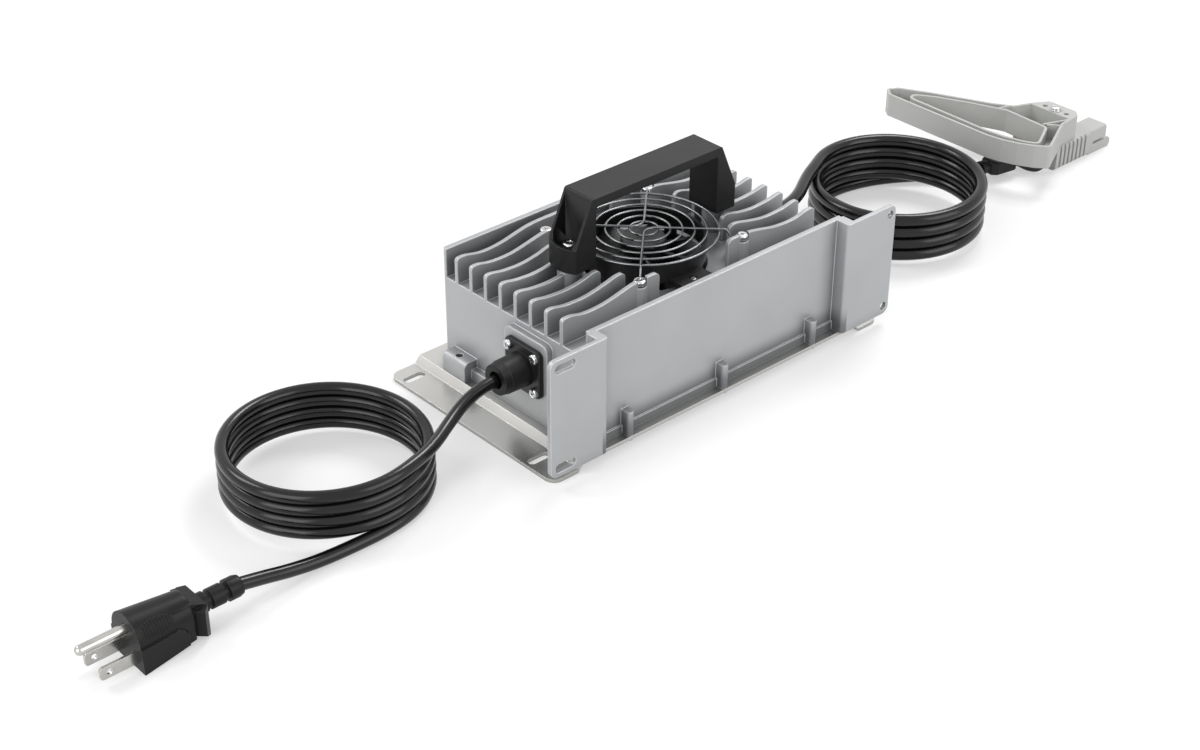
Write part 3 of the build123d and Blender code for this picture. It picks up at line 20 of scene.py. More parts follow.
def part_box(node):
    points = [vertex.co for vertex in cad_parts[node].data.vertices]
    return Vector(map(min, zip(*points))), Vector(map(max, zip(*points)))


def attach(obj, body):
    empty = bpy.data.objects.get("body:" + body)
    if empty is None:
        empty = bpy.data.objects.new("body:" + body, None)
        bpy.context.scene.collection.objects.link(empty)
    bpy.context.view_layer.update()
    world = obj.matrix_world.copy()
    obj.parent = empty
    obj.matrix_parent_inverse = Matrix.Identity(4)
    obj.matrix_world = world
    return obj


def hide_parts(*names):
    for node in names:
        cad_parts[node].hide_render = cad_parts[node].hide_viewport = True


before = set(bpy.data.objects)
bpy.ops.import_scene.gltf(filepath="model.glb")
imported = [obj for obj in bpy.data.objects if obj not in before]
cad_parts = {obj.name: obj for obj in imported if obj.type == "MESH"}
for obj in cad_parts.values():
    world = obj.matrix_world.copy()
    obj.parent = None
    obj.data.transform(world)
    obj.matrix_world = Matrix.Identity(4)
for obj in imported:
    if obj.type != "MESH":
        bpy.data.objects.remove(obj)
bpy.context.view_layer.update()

MERGE_DISTANCE = 0.000002
PLUG_AXIS_Y = -0.0483
UPRIGHT_FIRST_TURN = 0.6
UPRIGHT_TURN_STEP = 1.1
# A face looks along an axis when its normal has at least this share of it.
FACING = 0.9
log = logging.getLogger("charger")

Colour = tuple[float, float, float, float]
Point = tuple[float, float, float]
WHITE: Colour = (1.0, 1.0, 1.0, 1.0)


class Body(Enum):
    """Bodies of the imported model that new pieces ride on."""

    CHARGER = "charger"


class Grain(Enum):
    """How a finish's grain is stretched along X, Y and Z."""

    CAST = (1.0, 1.0, 1.0)
    ROLLED = (0.04, 1.0, 1.0)


class Part(Enum):
    """Which elements of a mesh are picked."""

    FACES = "FACE"
    EDGES = "EDGE"


class Carve(Enum):
    """What a cutter does to a piece."""

    AWAY = "DIFFERENCE"
    WITHIN = "INTERSECT"


class FarEnd(Enum):
    """What a cord carries at its far end."""

    PLUG = "plug"
    FITTING = "fitting"


def shade(red: int, green: int, blue: int) -> Colour:
    """Turns a display colour into the linear colour that a shader reads, by the sRGB curve.

    Args:
        red: Red part, from 0 to 255.
        green: Green part, from 0 to 255.
        blue: Blue part, from 0 to 255.

    Returns:
        The linear colour, opaque.
    """
    parts = [part / 255 for part in (red, green, blue)]
    linear = [part / 12.92 if part <= 0.04045 else ((part + 0.055) / 1.055) ** 2.4 for part in parts]
    return (linear[0], linear[1], linear[2], 1.0)


def deselect() -> None:
    """Deselects every object, so that the next operator acts on its own piece only."""
    bpy.ops.object.select_all(action="DESELECT")


def activate(piece: Object) -> None:
    """Makes a piece the only selected object and the active one."""
    deselect()
    piece.select_set(True)
    bpy.context.view_layer.objects.active = piece


def settle() -> None:
    """Applies the active piece's place, turn and scale to its mesh."""
    bpy.ops.object.transform_apply(location=True, rotation=True, scale=True)


@contextmanager
def edit_mode() -> Iterator[None]:
    """Keeps the active piece in edit mode for the length of a with block."""
    bpy.ops.object.mode_set(mode="EDIT")
    yield
    bpy.ops.object.mode_set(mode="OBJECT")


def pick(piece: Object, part: Part, wanted: Callable[[BMFace | BMEdge], bool]) -> None:
    """Selects, in edit mode, the faces or edges of a piece that pass a test and no others.

    Args:
        piece: The piece, which is in edit mode.
        part: Whether its faces or its edges are tested.
        wanted: The test that one has to pass.
    """
    bpy.ops.mesh.select_mode(type=part.value)
    bpy.ops.mesh.select_all(action="DESELECT")
    mesh = bmesh.from_edit_mesh(piece.data)
    for element in mesh.faces if part is Part.FACES else mesh.edges:
        element.select = wanted(element)
    mesh.select_flush_mode()
    bmesh.update_edit_mesh(piece.data)


def add_object(name: str, data: ID | None) -> Object:
    """Adds an object to the scene.

    Args:
        name: The object's name.
        data: Its mesh, curve, lamp or camera, or None for a bare pivot.

    Returns:
        The object.
    """
    made = bpy.data.objects.new(name, data)
    bpy.context.collection.objects.link(made)
    return made


def add_block(size: Point, place: Point, turn: float = 0.0) -> Object:
    """Adds a block.

    Args:
        size: Its lengths along X, Y and Z before it is turned.
        place: The place of its middle.
        turn: Its turn about Z.

    Returns:
        The block, with its place in its mesh.
    """
    deselect()
    bpy.ops.mesh.primitive_cube_add(size=1, location=place)
    block = bpy.context.object
    block.scale = size
    block.rotation_euler.z = turn
    settle()
    return block


def merged_copy(node: str, name: str) -> Object:
    """Copies a CAD node's mesh into a new piece and merges its loose triangles.

    Args:
        node: The CAD node.
        name: The name of the new piece.

    Returns:
        The new piece.
    """
    piece = add_object(name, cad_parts[node].data.copy())
    piece.data.name = name
    activate(piece)
    with edit_mode():
        bpy.ops.mesh.select_all(action="SELECT")
        bpy.ops.mesh.remove_doubles(threshold=MERGE_DISTANCE)
    return piece


def carve(piece: Object, cutter: Object, kind: Carve = Carve.AWAY) -> None:
    """Cuts a piece with a cutter, which is used up.

    Args:
        piece: The piece.
        cutter: The shape that cuts it.
        kind: Whether what lies in the cutter goes or stays.
    """
    activate(piece)
    cut = piece.modifiers.new("carve", "BOOLEAN")
    cut.object = cutter
    cut.operation = kind.value
    cut.solver = "EXACT"
    cut.use_self = True
    bpy.ops.object.modifier_apply(modifier=cut.name)
    bpy.data.objects.remove(cutter)


def join(pieces: list[Object], name: str) -> Object:
    """Joins pieces into the first of them.

    Args:
        pieces: The pieces, each with its own mesh.
        name: The name of the joined piece.

    Returns:
        The joined piece.
    """
    activate(pieces[0])
    for piece in pieces[1:]:
        piece.select_set(True)
    if len(pieces) > 1:
        bpy.ops.object.join()
    pieces[0].name = name
    pieces[0].data.name = name
    return pieces[0]


@dataclass
class Wiring:
    """Adds nodes to one shader node tree and links them."""

    tree: NodeTree

    def add(self, kind: str, inputs: dict[str | int, object] | None = None, **settings: object) -> Node:
        """Adds a node.

        Args:
            kind: The node's type name.
            inputs: The value of an input or the socket that it is linked to, by name or number.
            **settings: The node's own properties, which are set before its inputs.

        Returns:
            The new node.
        """
        node = self.tree.nodes.new(kind)
        for setting, value in settings.items():
            setattr(node, setting, value)
        self.feed(node, inputs or {})
        return node

    def feed(self, node: Node, inputs: dict[str | int, object]) -> None:
        """Sets inputs of a node to plain values or links them to sockets.

        Args:
            node: The node.
            inputs: The value of an input or the socket that it is linked to, by name or number.
        """
        for key, source in inputs.items():
            if isinstance(source, NodeSocket):
                self.tree.links.new(source, node.inputs[key])
            else:
                node.inputs[key].default_value = source

    def object_place(self) -> NodeSocket:
        """Gives the socket of the Object coordinates."""
        return self.add("ShaderNodeTexCoord").outputs["Object"]

    def compute(
        self, operation: str, first: float | NodeSocket, second: float | NodeSocket = 0.0,
        clamp: bool = False,
    ) -> NodeSocket:
        """Works out one operation on two values.

        Args:
            operation: The operation's name.
            first: The first value, or the socket that gives it.
            second: The second value, or the socket that gives it.
            clamp: Whether the result is kept between 0 and 1.

        Returns:
            The socket of the result.
        """
        node = self.add("ShaderNodeMath", {0: first, 1: second}, operation=operation, use_clamp=clamp)
        return node.outputs["Value"]

    def blend(self, first: Colour | NodeSocket, second: Colour, mask: NodeSocket) -> NodeSocket:
        """Mixes two colours by a mask.

        Args:
            first: The colour where the mask is 0, or the socket that gives it.
            second: The colour where the mask is 1.
            mask: The socket that gives the mask.

        Returns:
            The socket of the mixed colour.
        """
        mix = self.add("ShaderNodeMix", {"A": first, "B": second, "Factor": mask}, data_type="RGBA")
        return mix.outputs["Result"]

    def spread(self, mask: NodeSocket, low: float, high: float) -> NodeSocket:
        """Maps a mask from 0 to 1 onto a range.

        Args:
            mask: The socket that gives the mask.
            low: The value where the mask is 0.
            high: The value where the mask is 1.

        Returns:
            The socket of the mapped value.
        """
        mapped = self.add("ShaderNodeMapRange", {"To Min": low, "To Max": high, "Value": mask})
        return mapped.outputs["Result"]


@dataclass
class SharedGroups:
    """Shader node groups that more than one finish uses, each built once."""

    bevel_samples: int = 6
    hollow_samples: int = 8
    fine_detail: float = 3.0
    cloud_detail: float = 4.0
    noise_low: float = 0.3
    noise_high: float = 0.7

    def __post_init__(self) -> None:
        """Builds the groups."""
        self.edges = self._build_edge_highlight()
        self.grain = self._build_grain()
        self.hollow_shading = self._build_hollow_shading()

    @staticmethod
    def _start(name: str, inputs: dict[str, str], outputs: dict[str, str]) -> Wiring:
        """Starts a group with its sockets.

        Args:
            name: The group's name.
            inputs: Socket type of each input, by name.
            outputs: Socket type of each output, by name.

        Returns:
            The wiring of the new group.
        """
        group = bpy.data.node_groups.new(name, "ShaderNodeTree")
        for label, kind in inputs.items():
            group.interface.new_socket(label, in_out="INPUT", socket_type=kind)
        for label, kind in outputs.items():
            group.interface.new_socket(label, in_out="OUTPUT", socket_type=kind)
        return Wiring(group)

    def _build_edge_highlight(self) -> NodeTree:
        """Builds the group that rounds the shading at edges and masks them for a painted highlight.

        Returns:
            The group, with a rounded normal and a mask that is 1 along sharp edges.
        """
        wiring = self._start(
            "painted_edge_highlight",
            {"Radius": "NodeSocketFloat", "Gain": "NodeSocketFloat"},
            {"Edge Highlight": "NodeSocketFloat", "Normal": "NodeSocketVector"},
        )
        given = wiring.add("NodeGroupInput").outputs
        bevel = wiring.add("ShaderNodeBevel", {"Radius": given["Radius"]}, samples=self.bevel_samples)
        rounded = bevel.outputs["Normal"]
        surface = wiring.add("ShaderNodeNewGeometry").outputs["Normal"]
        match = wiring.add("ShaderNodeVectorMath", {0: rounded, 1: surface}, operation="DOT_PRODUCT")
        turned = wiring.compute("SUBTRACT", 1.0, match.outputs["Value"], clamp=True)
        highlighted = wiring.compute("MULTIPLY", turned, given["Gain"], clamp=True)
        wiring.add("NodeGroupOutput", {"Edge Highlight": highlighted, "Normal": rounded})
        return wiring.tree

    def _build_hollow_shading(self) -> NodeTree:
        """Builds the group that masks hollows for painted shade, by ambient occlusion.

        Returns:
            The group, with a mask that is 1 deep in a hollow.
        """
        wiring = self._start(
            "painted_hollow_shading",
            {"Reach": "NodeSocketFloat", "Strength": "NodeSocketFloat"},
            {"Mask": "NodeSocketFloat"},
        )
        given = wiring.add("NodeGroupInput").outputs
        open_sky = wiring.add(
            "ShaderNodeAmbientOcclusion", {"Distance": given["Reach"]}, samples=self.hollow_samples
        )
        closed = wiring.compute("SUBTRACT", 1.0, open_sky.outputs["AO"], clamp=True)
        masked = wiring.compute("MULTIPLY", closed, given["Strength"], clamp=True)
        wiring.add("NodeGroupOutput", {"Mask": masked})
        return wiring.tree

    def _build_grain(self) -> NodeTree:
        """Builds the group of the fine grain and the broad clouding of a surface.

        Returns:
            The group, with a fine value and a broad one, both from 0 to 1.
        """
        wiring = self._start(
            "surface_grain",
            {
                "Stretch": "NodeSocketVector",
                "Fine Scale": "NodeSocketFloat",
                "Cloud Scale": "NodeSocketFloat",
            },
            {"Fine": "NodeSocketFloat", "Cloud": "NodeSocketFloat"},
        )
        given = wiring.add("NodeGroupInput").outputs
        stretched = wiring.add(
            "ShaderNodeVectorMath", {0: wiring.object_place(), 1: given["Stretch"]}, operation="MULTIPLY"
        ).outputs["Vector"]
        values = {}
        for output, detail in (("Fine", self.fine_detail), ("Cloud", self.cloud_detail)):
            scale = given[output + " Scale"]
            noise = wiring.add("ShaderNodeTexNoise", {"Detail": detail, "Vector": stretched, "Scale": scale})
            lifted = wiring.add(
                "ShaderNodeMapRange",
                {"From Min": self.noise_low, "From Max": self.noise_high, "Value": noise.outputs["Fac"]},
            )
            values[output] = lifted.outputs["Result"]
        wiring.add("NodeGroupOutput", values)
        return wiring.tree


@dataclass(frozen=True)
class Finish:
    """A surface: two near colours in clouds, a painted highlight along its edges, painted shade in its
    hollows, gloss and a fine grain.
    """

    slot: str
    colour: Colour
    cloud: Colour
    # The edge colour is a painted highlight, laid along sharp edges.
    edge: Colour
    metallic: float = 0.0
    smooth: float = 0.4
    dull: float = 0.5
    grain: Grain = Grain.CAST
    fine_scale: float = 2400.0
    cloud_scale: float = 60.0
    relief: float = 0.00003
    edge_radius: float = 0.0004
    highlight_gain: float = 2.0
    specular: float = 0.5
    # The hollow colour is painted shade, laid deep in hollows.
    painted_hollow_shade: Colour | None = None
    hollow_reach: float = 0.008
    hollow_strength: float = 0.8

    def make(self, groups: SharedGroups) -> Material:
        """Builds the finish as a material.

        Args:
            groups: The shared node groups.

        Returns:
            The material.
        """
        material = bpy.data.materials.new(self.slot)
        material.use_nodes = True
        wiring = Wiring(material.node_tree)
        edges = wiring.add(
            "ShaderNodeGroup", {"Radius": self.edge_radius, "Gain": self.highlight_gain}, node_tree=groups.edges
        ).outputs
        grain = wiring.add(
            "ShaderNodeGroup",
            {"Stretch": self.grain.value, "Fine Scale": self.fine_scale, "Cloud Scale": self.cloud_scale},
            node_tree=groups.grain,
        ).outputs
        bump = wiring.add(
            "ShaderNodeBump", {"Distance": self.relief, "Height": grain["Fine"], "Normal": edges["Normal"]}
        )
        coloured = self.pattern(wiring, grain["Cloud"])
        # Painted shade: the colour darkens towards the hollow colour where ambient occlusion finds a hollow.
        if self.painted_hollow_shade is not None:
            hollow_shading = wiring.add(
                "ShaderNodeGroup", {"Reach": self.hollow_reach, "Strength": self.hollow_strength},
                node_tree=groups.hollow_shading,
            )
            coloured = wiring.blend(coloured, self.painted_hollow_shade, hollow_shading.outputs["Mask"])
        # Painted highlight: the edge colour is laid along sharp edges by the edge mask.
        wiring.feed(
            material.node_tree.nodes["Principled BSDF"],
            {
                "Metallic": self.metallic,
                "Specular IOR Level": self.specular,
                "Normal": bump.outputs["Normal"],
                "Base Color": wiring.blend(coloured, self.edge, edges["Edge Highlight"]),
                "Roughness": wiring.spread(grain["Cloud"], self.smooth, self.dull),
            },
        )
        return material

    def pattern(self, wiring: Wiring, clouding: NodeSocket) -> NodeSocket:
        """Colours the surface before the painted shade of hollows and the painted highlight along edges go
        on.

        Args:
            wiring: The wiring of the material.
            clouding: The socket of the broad clouding.

        Returns:
            The socket of the colour.
        """
        return wiring.blend(self.colour, self.cloud, clouding)


@dataclass(frozen=True)
class CastFinish(Finish):
    """Blasted casting with painted shade that darkens its long walls softly towards the band at their foot.
    """

    # Painted shade: the foot shade darkens the long walls towards their foot.
    painted_foot_shade: Colour = shade(84, 86, 89)
    shade_top: float = 0.0215
    shade_bottom: float = 0.0095
    shade_half_length: float = 0.088
    shade_strength: float = 0.75

    def pattern(self, wiring: Wiring, clouding: NodeSocket) -> NodeSocket:
        """Colours the casting and paints shade on the foot of its long walls.

        Args:
            wiring: The wiring of the material.
            clouding: The socket of the broad clouding.

        Returns:
            The socket of the colour.
        """
        # Painted shade on the foot of the long walls, fading in below shade_top.
        place = wiring.add("ShaderNodeSeparateXYZ", {"Vector": wiring.object_place()}).outputs
        foot_shade_fade = wiring.add(
            "ShaderNodeMapRange",
            {
                "Value": place["Z"], "From Min": self.shade_top, "From Max": self.shade_bottom,
                "To Max": self.shade_strength,
            },
            interpolation_type="SMOOTHSTEP",
        )
        off_middle = wiring.compute("ABSOLUTE", place["X"])
        between = wiring.compute("LESS_THAN", off_middle, self.shade_half_length)
        mask = wiring.compute("MULTIPLY", foot_shade_fade.outputs["Result"], between)
        return wiring.blend(super().pattern(wiring, clouding), self.painted_foot_shade, mask)


@dataclass(frozen=True)
class WoundFinish(Finish):
    """Turns of varnished wire, which show as fine bands with a dark line between them."""

    turn_scale: float = 400.0
    gap: Colour = shade(70, 36, 20)

    def pattern(self, wiring: Wiring, clouding: NodeSocket) -> NodeSocket:
        """Colours the wires and the lines between them.

        Args:
            wiring: The wiring of the material.
            clouding: The socket of the broad clouding.

        Returns:
            The socket of the colour.
        """
        bands = wiring.add(
            "ShaderNodeTexWave", {"Scale": self.turn_scale, "Vector": wiring.object_place()},
            wave_type="BANDS", bands_direction="Z",
        )
        return wiring.blend(super().pattern(wiring, clouding), self.gap, bands.outputs["Fac"])


@dataclass(frozen=True)
class BoardFinish(Finish):
    """Solder mask with paler tracks under it."""

    track: Colour = shade(38, 112, 66)
    track_scale: float = 120.0

    def pattern(self, wiring: Wiring, clouding: NodeSocket) -> NodeSocket:
        """Colours the mask and the tracks.

        Args:
            wiring: The wiring of the material.
            clouding: The socket of the broad clouding.

        Returns:
            The socket of the colour.
        """
        cells = wiring.add(
            "ShaderNodeTexVoronoi", {"Scale": self.track_scale, "Vector": wiring.object_place()},
            distance="CHEBYCHEV", feature="F1",
        )
        return wiring.blend(super().pattern(wiring, clouding), self.track, cells.outputs["Distance"])


# The third colour of each finish is a painted highlight along its edges; a hollow colour is painted shade.
FINISHES = (
    CastFinish(
        "cast_aluminium", shade(176, 178, 180), shade(182, 184, 186), shade(232, 233, 234),
        metallic=0.3, smooth=0.34, dull=0.44, fine_scale=1900.0, cloud_scale=35.0,
        relief=0.00002, edge_radius=0.001, highlight_gain=4.0,
        painted_hollow_shade=shade(92, 94, 97), hollow_reach=0.012, hollow_strength=1.0,
    ),
    Finish(
        "plate_aluminium", shade(196, 195, 192), shade(204, 203, 200), shade(226, 226, 224),
        metallic=0.85, smooth=0.24, dull=0.34, grain=Grain.ROLLED, fine_scale=2600.0,
        cloud_scale=24.0, relief=0.000006, edge_radius=0.0003,
        painted_hollow_shade=shade(104, 104, 102),
    ),
    Finish(
        "screw_steel", shade(150, 150, 150), shade(170, 170, 168), shade(200, 200, 200),
        metallic=1.0, smooth=0.25, dull=0.4, cloud_scale=300.0, relief=0.000008, edge_radius=0.0002,
    ),
    Finish(
        "bright_steel", shade(196, 198, 199), shade(212, 213, 213), shade(232, 232, 232),
        metallic=1.0, smooth=0.14, dull=0.24, cloud_scale=300.0, relief=0.000004, edge_radius=0.00015,
    ),
    Finish(
        "chromed_wire", shade(122, 124, 126), shade(138, 140, 142), shade(170, 172, 174),
        metallic=1.0, smooth=0.2, dull=0.3, cloud_scale=200.0, relief=0.000003, edge_radius=0.0001,
    ),
    Finish(
        "fan_plastic", shade(20, 20, 21), shade(25, 25, 26), shade(52, 52, 53),
        smooth=0.3, dull=0.42, fine_scale=3000.0, relief=0.00001, edge_radius=0.0003,
    ),
    Finish(
        "handle_plastic", shade(19, 19, 19), shade(22, 22, 22), shade(62, 62, 63),
        smooth=0.4, dull=0.5, specular=0.3, fine_scale=2600.0, relief=0.000022, edge_radius=0.0007,
    ),
    Finish(
        "gland_plastic", shade(20, 20, 21), shade(24, 24, 25), shade(64, 64, 65),
        smooth=0.36, dull=0.48, specular=0.35, fine_scale=2600.0, relief=0.000015, edge_radius=0.0004,
    ),
    Finish(
        "gasket_rubber", shade(24, 24, 25), shade(30, 30, 31), shade(44, 44, 45),
        smooth=0.6, dull=0.72, fine_scale=3200.0, relief=0.00002, edge_radius=0.0002,
    ),
    Finish(
        "cord_sheath", shade(12, 12, 13), shade(15, 15, 16), shade(18, 18, 19),
        smooth=0.15, dull=0.2, specular=0.38, fine_scale=1800.0, cloud_scale=90.0, relief=0.000012,
        edge_radius=0.0001, highlight_gain=0.4,
    ),
    Finish(
        "plug_vinyl", shade(15, 15, 15), shade(18, 18, 18), shade(48, 48, 49),
        smooth=0.34, dull=0.44, specular=0.22, fine_scale=2200.0, relief=0.000015, edge_radius=0.0006,
    ),
    Finish(
        "boot_rubber", shade(18, 18, 19), shade(22, 22, 23), shade(46, 46, 47),
        smooth=0.46, dull=0.58, specular=0.3, fine_scale=2600.0, relief=0.00002, edge_radius=0.0004,
    ),
    Finish(
        "black_sleeve", shade(18, 18, 19), shade(22, 22, 23), shade(40, 40, 41),
        smooth=0.32, dull=0.42, specular=0.35, relief=0.00001, edge_radius=0.0001,
    ),
    Finish(
        "red_sleeve", shade(176, 22, 24), shade(190, 30, 30), shade(206, 60, 56),
        smooth=0.34, dull=0.44, relief=0.00001, edge_radius=0.0001,
    ),
    Finish(
        "connector_grey", shade(185, 186, 183), shade(190, 191, 188), shade(210, 211, 208),
        smooth=0.38, dull=0.48, cloud_scale=50.0, relief=0.000014, edge_radius=0.0005, highlight_gain=1.4,
    ),
    Finish(
        "plated_brass", shade(182, 181, 177), shade(196, 195, 191), shade(222, 221, 217),
        metallic=1.0, smooth=0.16, dull=0.28, cloud_scale=180.0, relief=0.000005, edge_radius=0.0002,
    ),
    Finish(
        "ferrite", shade(52, 50, 50), shade(62, 60, 60), shade(86, 84, 84),
        metallic=0.2, smooth=0.5, dull=0.66, fine_scale=3000.0, relief=0.00003,
    ),
    WoundFinish(
        "winding_copper", shade(168, 92, 52), shade(184, 104, 60), shade(206, 130, 84),
        metallic=0.7, smooth=0.26, dull=0.38, relief=0.00001,
    ),
    Finish(
        "capacitor_sleeve", shade(24, 30, 52), shade(30, 36, 60), shade(54, 60, 84),
        smooth=0.26, dull=0.36, relief=0.00001,
    ),
    Finish(
        "transistor_case", shade(30, 30, 30), shade(38, 38, 38), shade(58, 58, 58),
        smooth=0.46, dull=0.6, fine_scale=3000.0, relief=0.00002,
    ),
    BoardFinish(
        "board_laminate", shade(24, 84, 50), shade(28, 92, 56), shade(120, 130, 80),
        smooth=0.28, dull=0.4, relief=0.00001, edge_radius=0.0001,
    ),
)


class Wardrobe:
    """Makes each finish once and puts it on nodes and pieces."""

    def __init__(self) -> None:
        """Builds the shared groups and all materials."""
        groups = SharedGroups()
        self.materials = {finish.slot: finish.make(groups) for finish in FINISHES}

    def dress(self, slot: str, *nodes: str) -> None:
        """Puts a finish on carried-over CAD nodes.

        Args:
            slot: The material slot of the finish.
            *nodes: The names of the nodes.
        """
        for name in nodes:
            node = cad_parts[name]
            if not node.material_slots:
                node.data.materials.append(self.materials[slot])
            for holder in node.material_slots:
                holder.material = self.materials[slot]
            log.info("node %s in %s", name, slot)

    def finish(self, piece: Object, slot: str, body: Body, replaced: tuple[str, ...]) -> Object:
        """Dresses a new piece, lets it ride on a body and stand for CAD nodes.

        Args:
            piece: The new piece.
            slot: The material slot of its finish.
            body: The body that it rides on.
            replaced: The CAD nodes that it stands for.

        Returns:
            The same piece.
        """
        piece.data.materials.clear()
        piece.data.materials.append(self.materials[slot])
        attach(piece, body.value)
        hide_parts(*replaced)
        log.info("piece %s in %s for %s", piece.name, slot, ", ".join(replaced) or "no node")
        return piece


@dataclass(frozen=True)
class ScrewSize:
    """Radius and height of a screw's head, and the radius of its shank."""

    head_radius: float
    head_height: float
    shank_radius: float


@dataclass
class PanScrews:
    """A set of like pan-head screws with a cross recess."""

    name: str
    node: str
    size: ScrewSize
    seats: list[Matrix]
    shank_length: float
    slot: str = "bright_steel"
    recess_share: float = 0.62
    recess_width: float = 0.22
    dome_share: float = 0.62
    rim_segments: int = 6
    rim_profile: float = 0.55
    recess_taper: float = 0.5
    smooth_angle: float = math.radians(35)
    sides: int = 40

    def _blank(self) -> Object:
        """Turns one screw: head above the origin, shank below it.

        Returns:
            The screw without its recess.
        """
        size = self.size
        deselect()
        bpy.ops.mesh.primitive_cylinder_add(
            vertices=self.sides, radius=size.head_radius, depth=size.head_height,
            location=(0, 0, size.head_height / 2),
        )
        screw = bpy.context.object
        settle()
        with edit_mode():
            pick(screw, Part.FACES, lambda face: face.normal.z < -FACING)
            bpy.ops.mesh.inset(thickness=size.head_radius - size.shank_radius)
            bpy.ops.mesh.extrude_region_move(
                TRANSFORM_OT_translate={"value": (0, 0, -self.shank_length)}
            )
            pick(screw, Part.FACES, lambda face: face.normal.z > FACING)
            bpy.ops.mesh.bevel(
                offset=size.head_height * self.dome_share, segments=self.rim_segments,
                profile=self.rim_profile,
            )
        return screw

    def _cutter(self) -> Object:
        """Shapes the tapered cross that cuts the recess.

        Returns:
            The cutter.
        """
        arms = []
        size = self.size
        depth = size.head_height * self.recess_share
        lengths = (size.head_radius * 2 * self.recess_share, size.head_radius * self.recess_width, 2 * depth)
        for turn in (0.0, math.pi / 2):
            arm = add_block(lengths, (0, 0, size.head_height), turn)
            with edit_mode():
                pick(arm, Part.FACES, lambda face: face.normal.z < -FACING)
                bpy.ops.transform.resize(value=(self.recess_taper, self.recess_taper, 1))
            arms.append(arm)
        return join(arms, self.name + "_cutter")

    def build(self, wardrobe: Wardrobe) -> Object:
        """Makes one screw, copies it to each seat and dresses the set.

        Args:
            wardrobe: The finishes.

        Returns:
            The set of screws as one piece.
        """
        screw = self._blank()
        carve(screw, self._cutter())
        bpy.ops.object.shade_smooth_by_angle(angle=self.smooth_angle)
        copies = []
        for seat in self.seats:
            copy = screw.copy()
            copy.data = screw.data.copy()
            copy.data.transform(seat)
            bpy.context.collection.objects.link(copy)
            copies.append(copy)
        bpy.data.objects.remove(screw)
        return wardrobe.finish(join(copies, self.name), self.slot, Body.CHARGER, (self.node,))


def seats_at(places: list[Point], facing: Matrix, first_turn: float, turn_step: float) -> list[Matrix]:
    """Seats a screw at each place, each turned a step further about its own axis.

    Args:
        places: The places of the heads' undersides.
        facing: The turn from heads that point up to the set's own direction.
        first_turn: The turn of the first screw.
        turn_step: How much further each next one is turned.

    Returns:
        The seats.
    """
    return [
        Matrix.Translation(place) @ facing @ Matrix.Rotation(first_turn + turn_step * i, 4, "Z")
        for i, place in enumerate(places)
    ]


def upright_screws(
    name: str,
    node: str,
    size: ScrewSize,
    columns: int,
    rows: int,
    slot: str = "bright_steel",
    seat_radius: float | None = None,
) -> PanScrews:
    """Places upright screws by the box of their CAD node.

    Args:
        name: The name of the set.
        node: The CAD node of the screws.
        size: The size of one screw.
        columns: How many screws stand side by side along X.
        rows: How many stand side by side along Y.
        slot: The material slot of their finish.
        seat_radius: The radius of the heads in the CAD node, where the new heads have another one.

    Returns:
        The set, with each screw turned by its own angle.
    """
    low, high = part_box(node)
    inset = seat_radius or size.head_radius
    xs = [low.x + inset, high.x - inset][:columns]
    ys = [low.y + inset, high.y - inset][:rows]
    places = [(x, y, high.z - size.head_height) for x in xs for y in ys]
    return PanScrews(
        name, node, size,
        seats=seats_at(places, Matrix.Identity(4), UPRIGHT_FIRST_TURN, UPRIGHT_TURN_STEP),
        shank_length=high.z - low.z - size.head_height, slot=slot,
    )


@dataclass
class Casework:
    """Base plate, finned casting and the low-headed screws between them.

    seat_radius and seat_height are those of the heads in the CAD node, which place the screws.
    """

    plate: str = "base_plate"
    casting: str = "housing"
    screw_node: str = "base_screws"
    seat_radius: float = 0.0021
    seat_height: float = 0.0017
    screw: ScrewSize = ScrewSize(0.0021, 0.0008, 0.00095)
    first_turn: float = 0.3
    turn_step: float = 0.8

    def build(self, wardrobe: Wardrobe) -> None:
        """Dresses the casework and makes the screws, which point up into the casting.

        Args:
            wardrobe: The finishes.
        """
        wardrobe.dress("plate_aluminium", self.plate)
        wardrobe.dress("cast_aluminium", self.casting)
        low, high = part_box(self.screw_node)
        underside = low.z + self.seat_height
        places = [
            (x, y, underside)
            for x in (low.x + self.seat_radius, (low.x + high.x) / 2, high.x - self.seat_radius)
            for y in (low.y + self.seat_radius, high.y - self.seat_radius)
        ]
        PanScrews(
            "base_plate_screws", self.screw_node, self.screw,
            seats=seats_at(places, Matrix.Rotation(math.pi, 4, "X"), self.first_turn, self.turn_step),
            shank_length=high.z - underside, slot="screw_steel",
        ).build(wardrobe)


@dataclass
class CoolingFan:
    """Fan, its screws, the wire guard and the guard's screws."""

    guard_screw: ScrewSize = ScrewSize(0.0033, 0.0022, 0.0014)
    lug_screw: ScrewSize = ScrewSize(0.0019, 0.0012, 0.001)

    def build(self, wardrobe: Wardrobe) -> None:
        """Dresses the fan and makes its screws.

        Args:
            wardrobe: The finishes.
        """
        wardrobe.dress("fan_plastic", "fan_frame", "fan_rotor")
        wardrobe.dress("chromed_wire", "fan_guard")
        upright_screws("guard_corner_screws", "guard_screws", self.guard_screw, 2, 2).build(wardrobe)
        upright_screws(
            "fan_lug_screws", "fan_screws", self.lug_screw, 1, 2, slot="screw_steel"
        ).build(wardrobe)


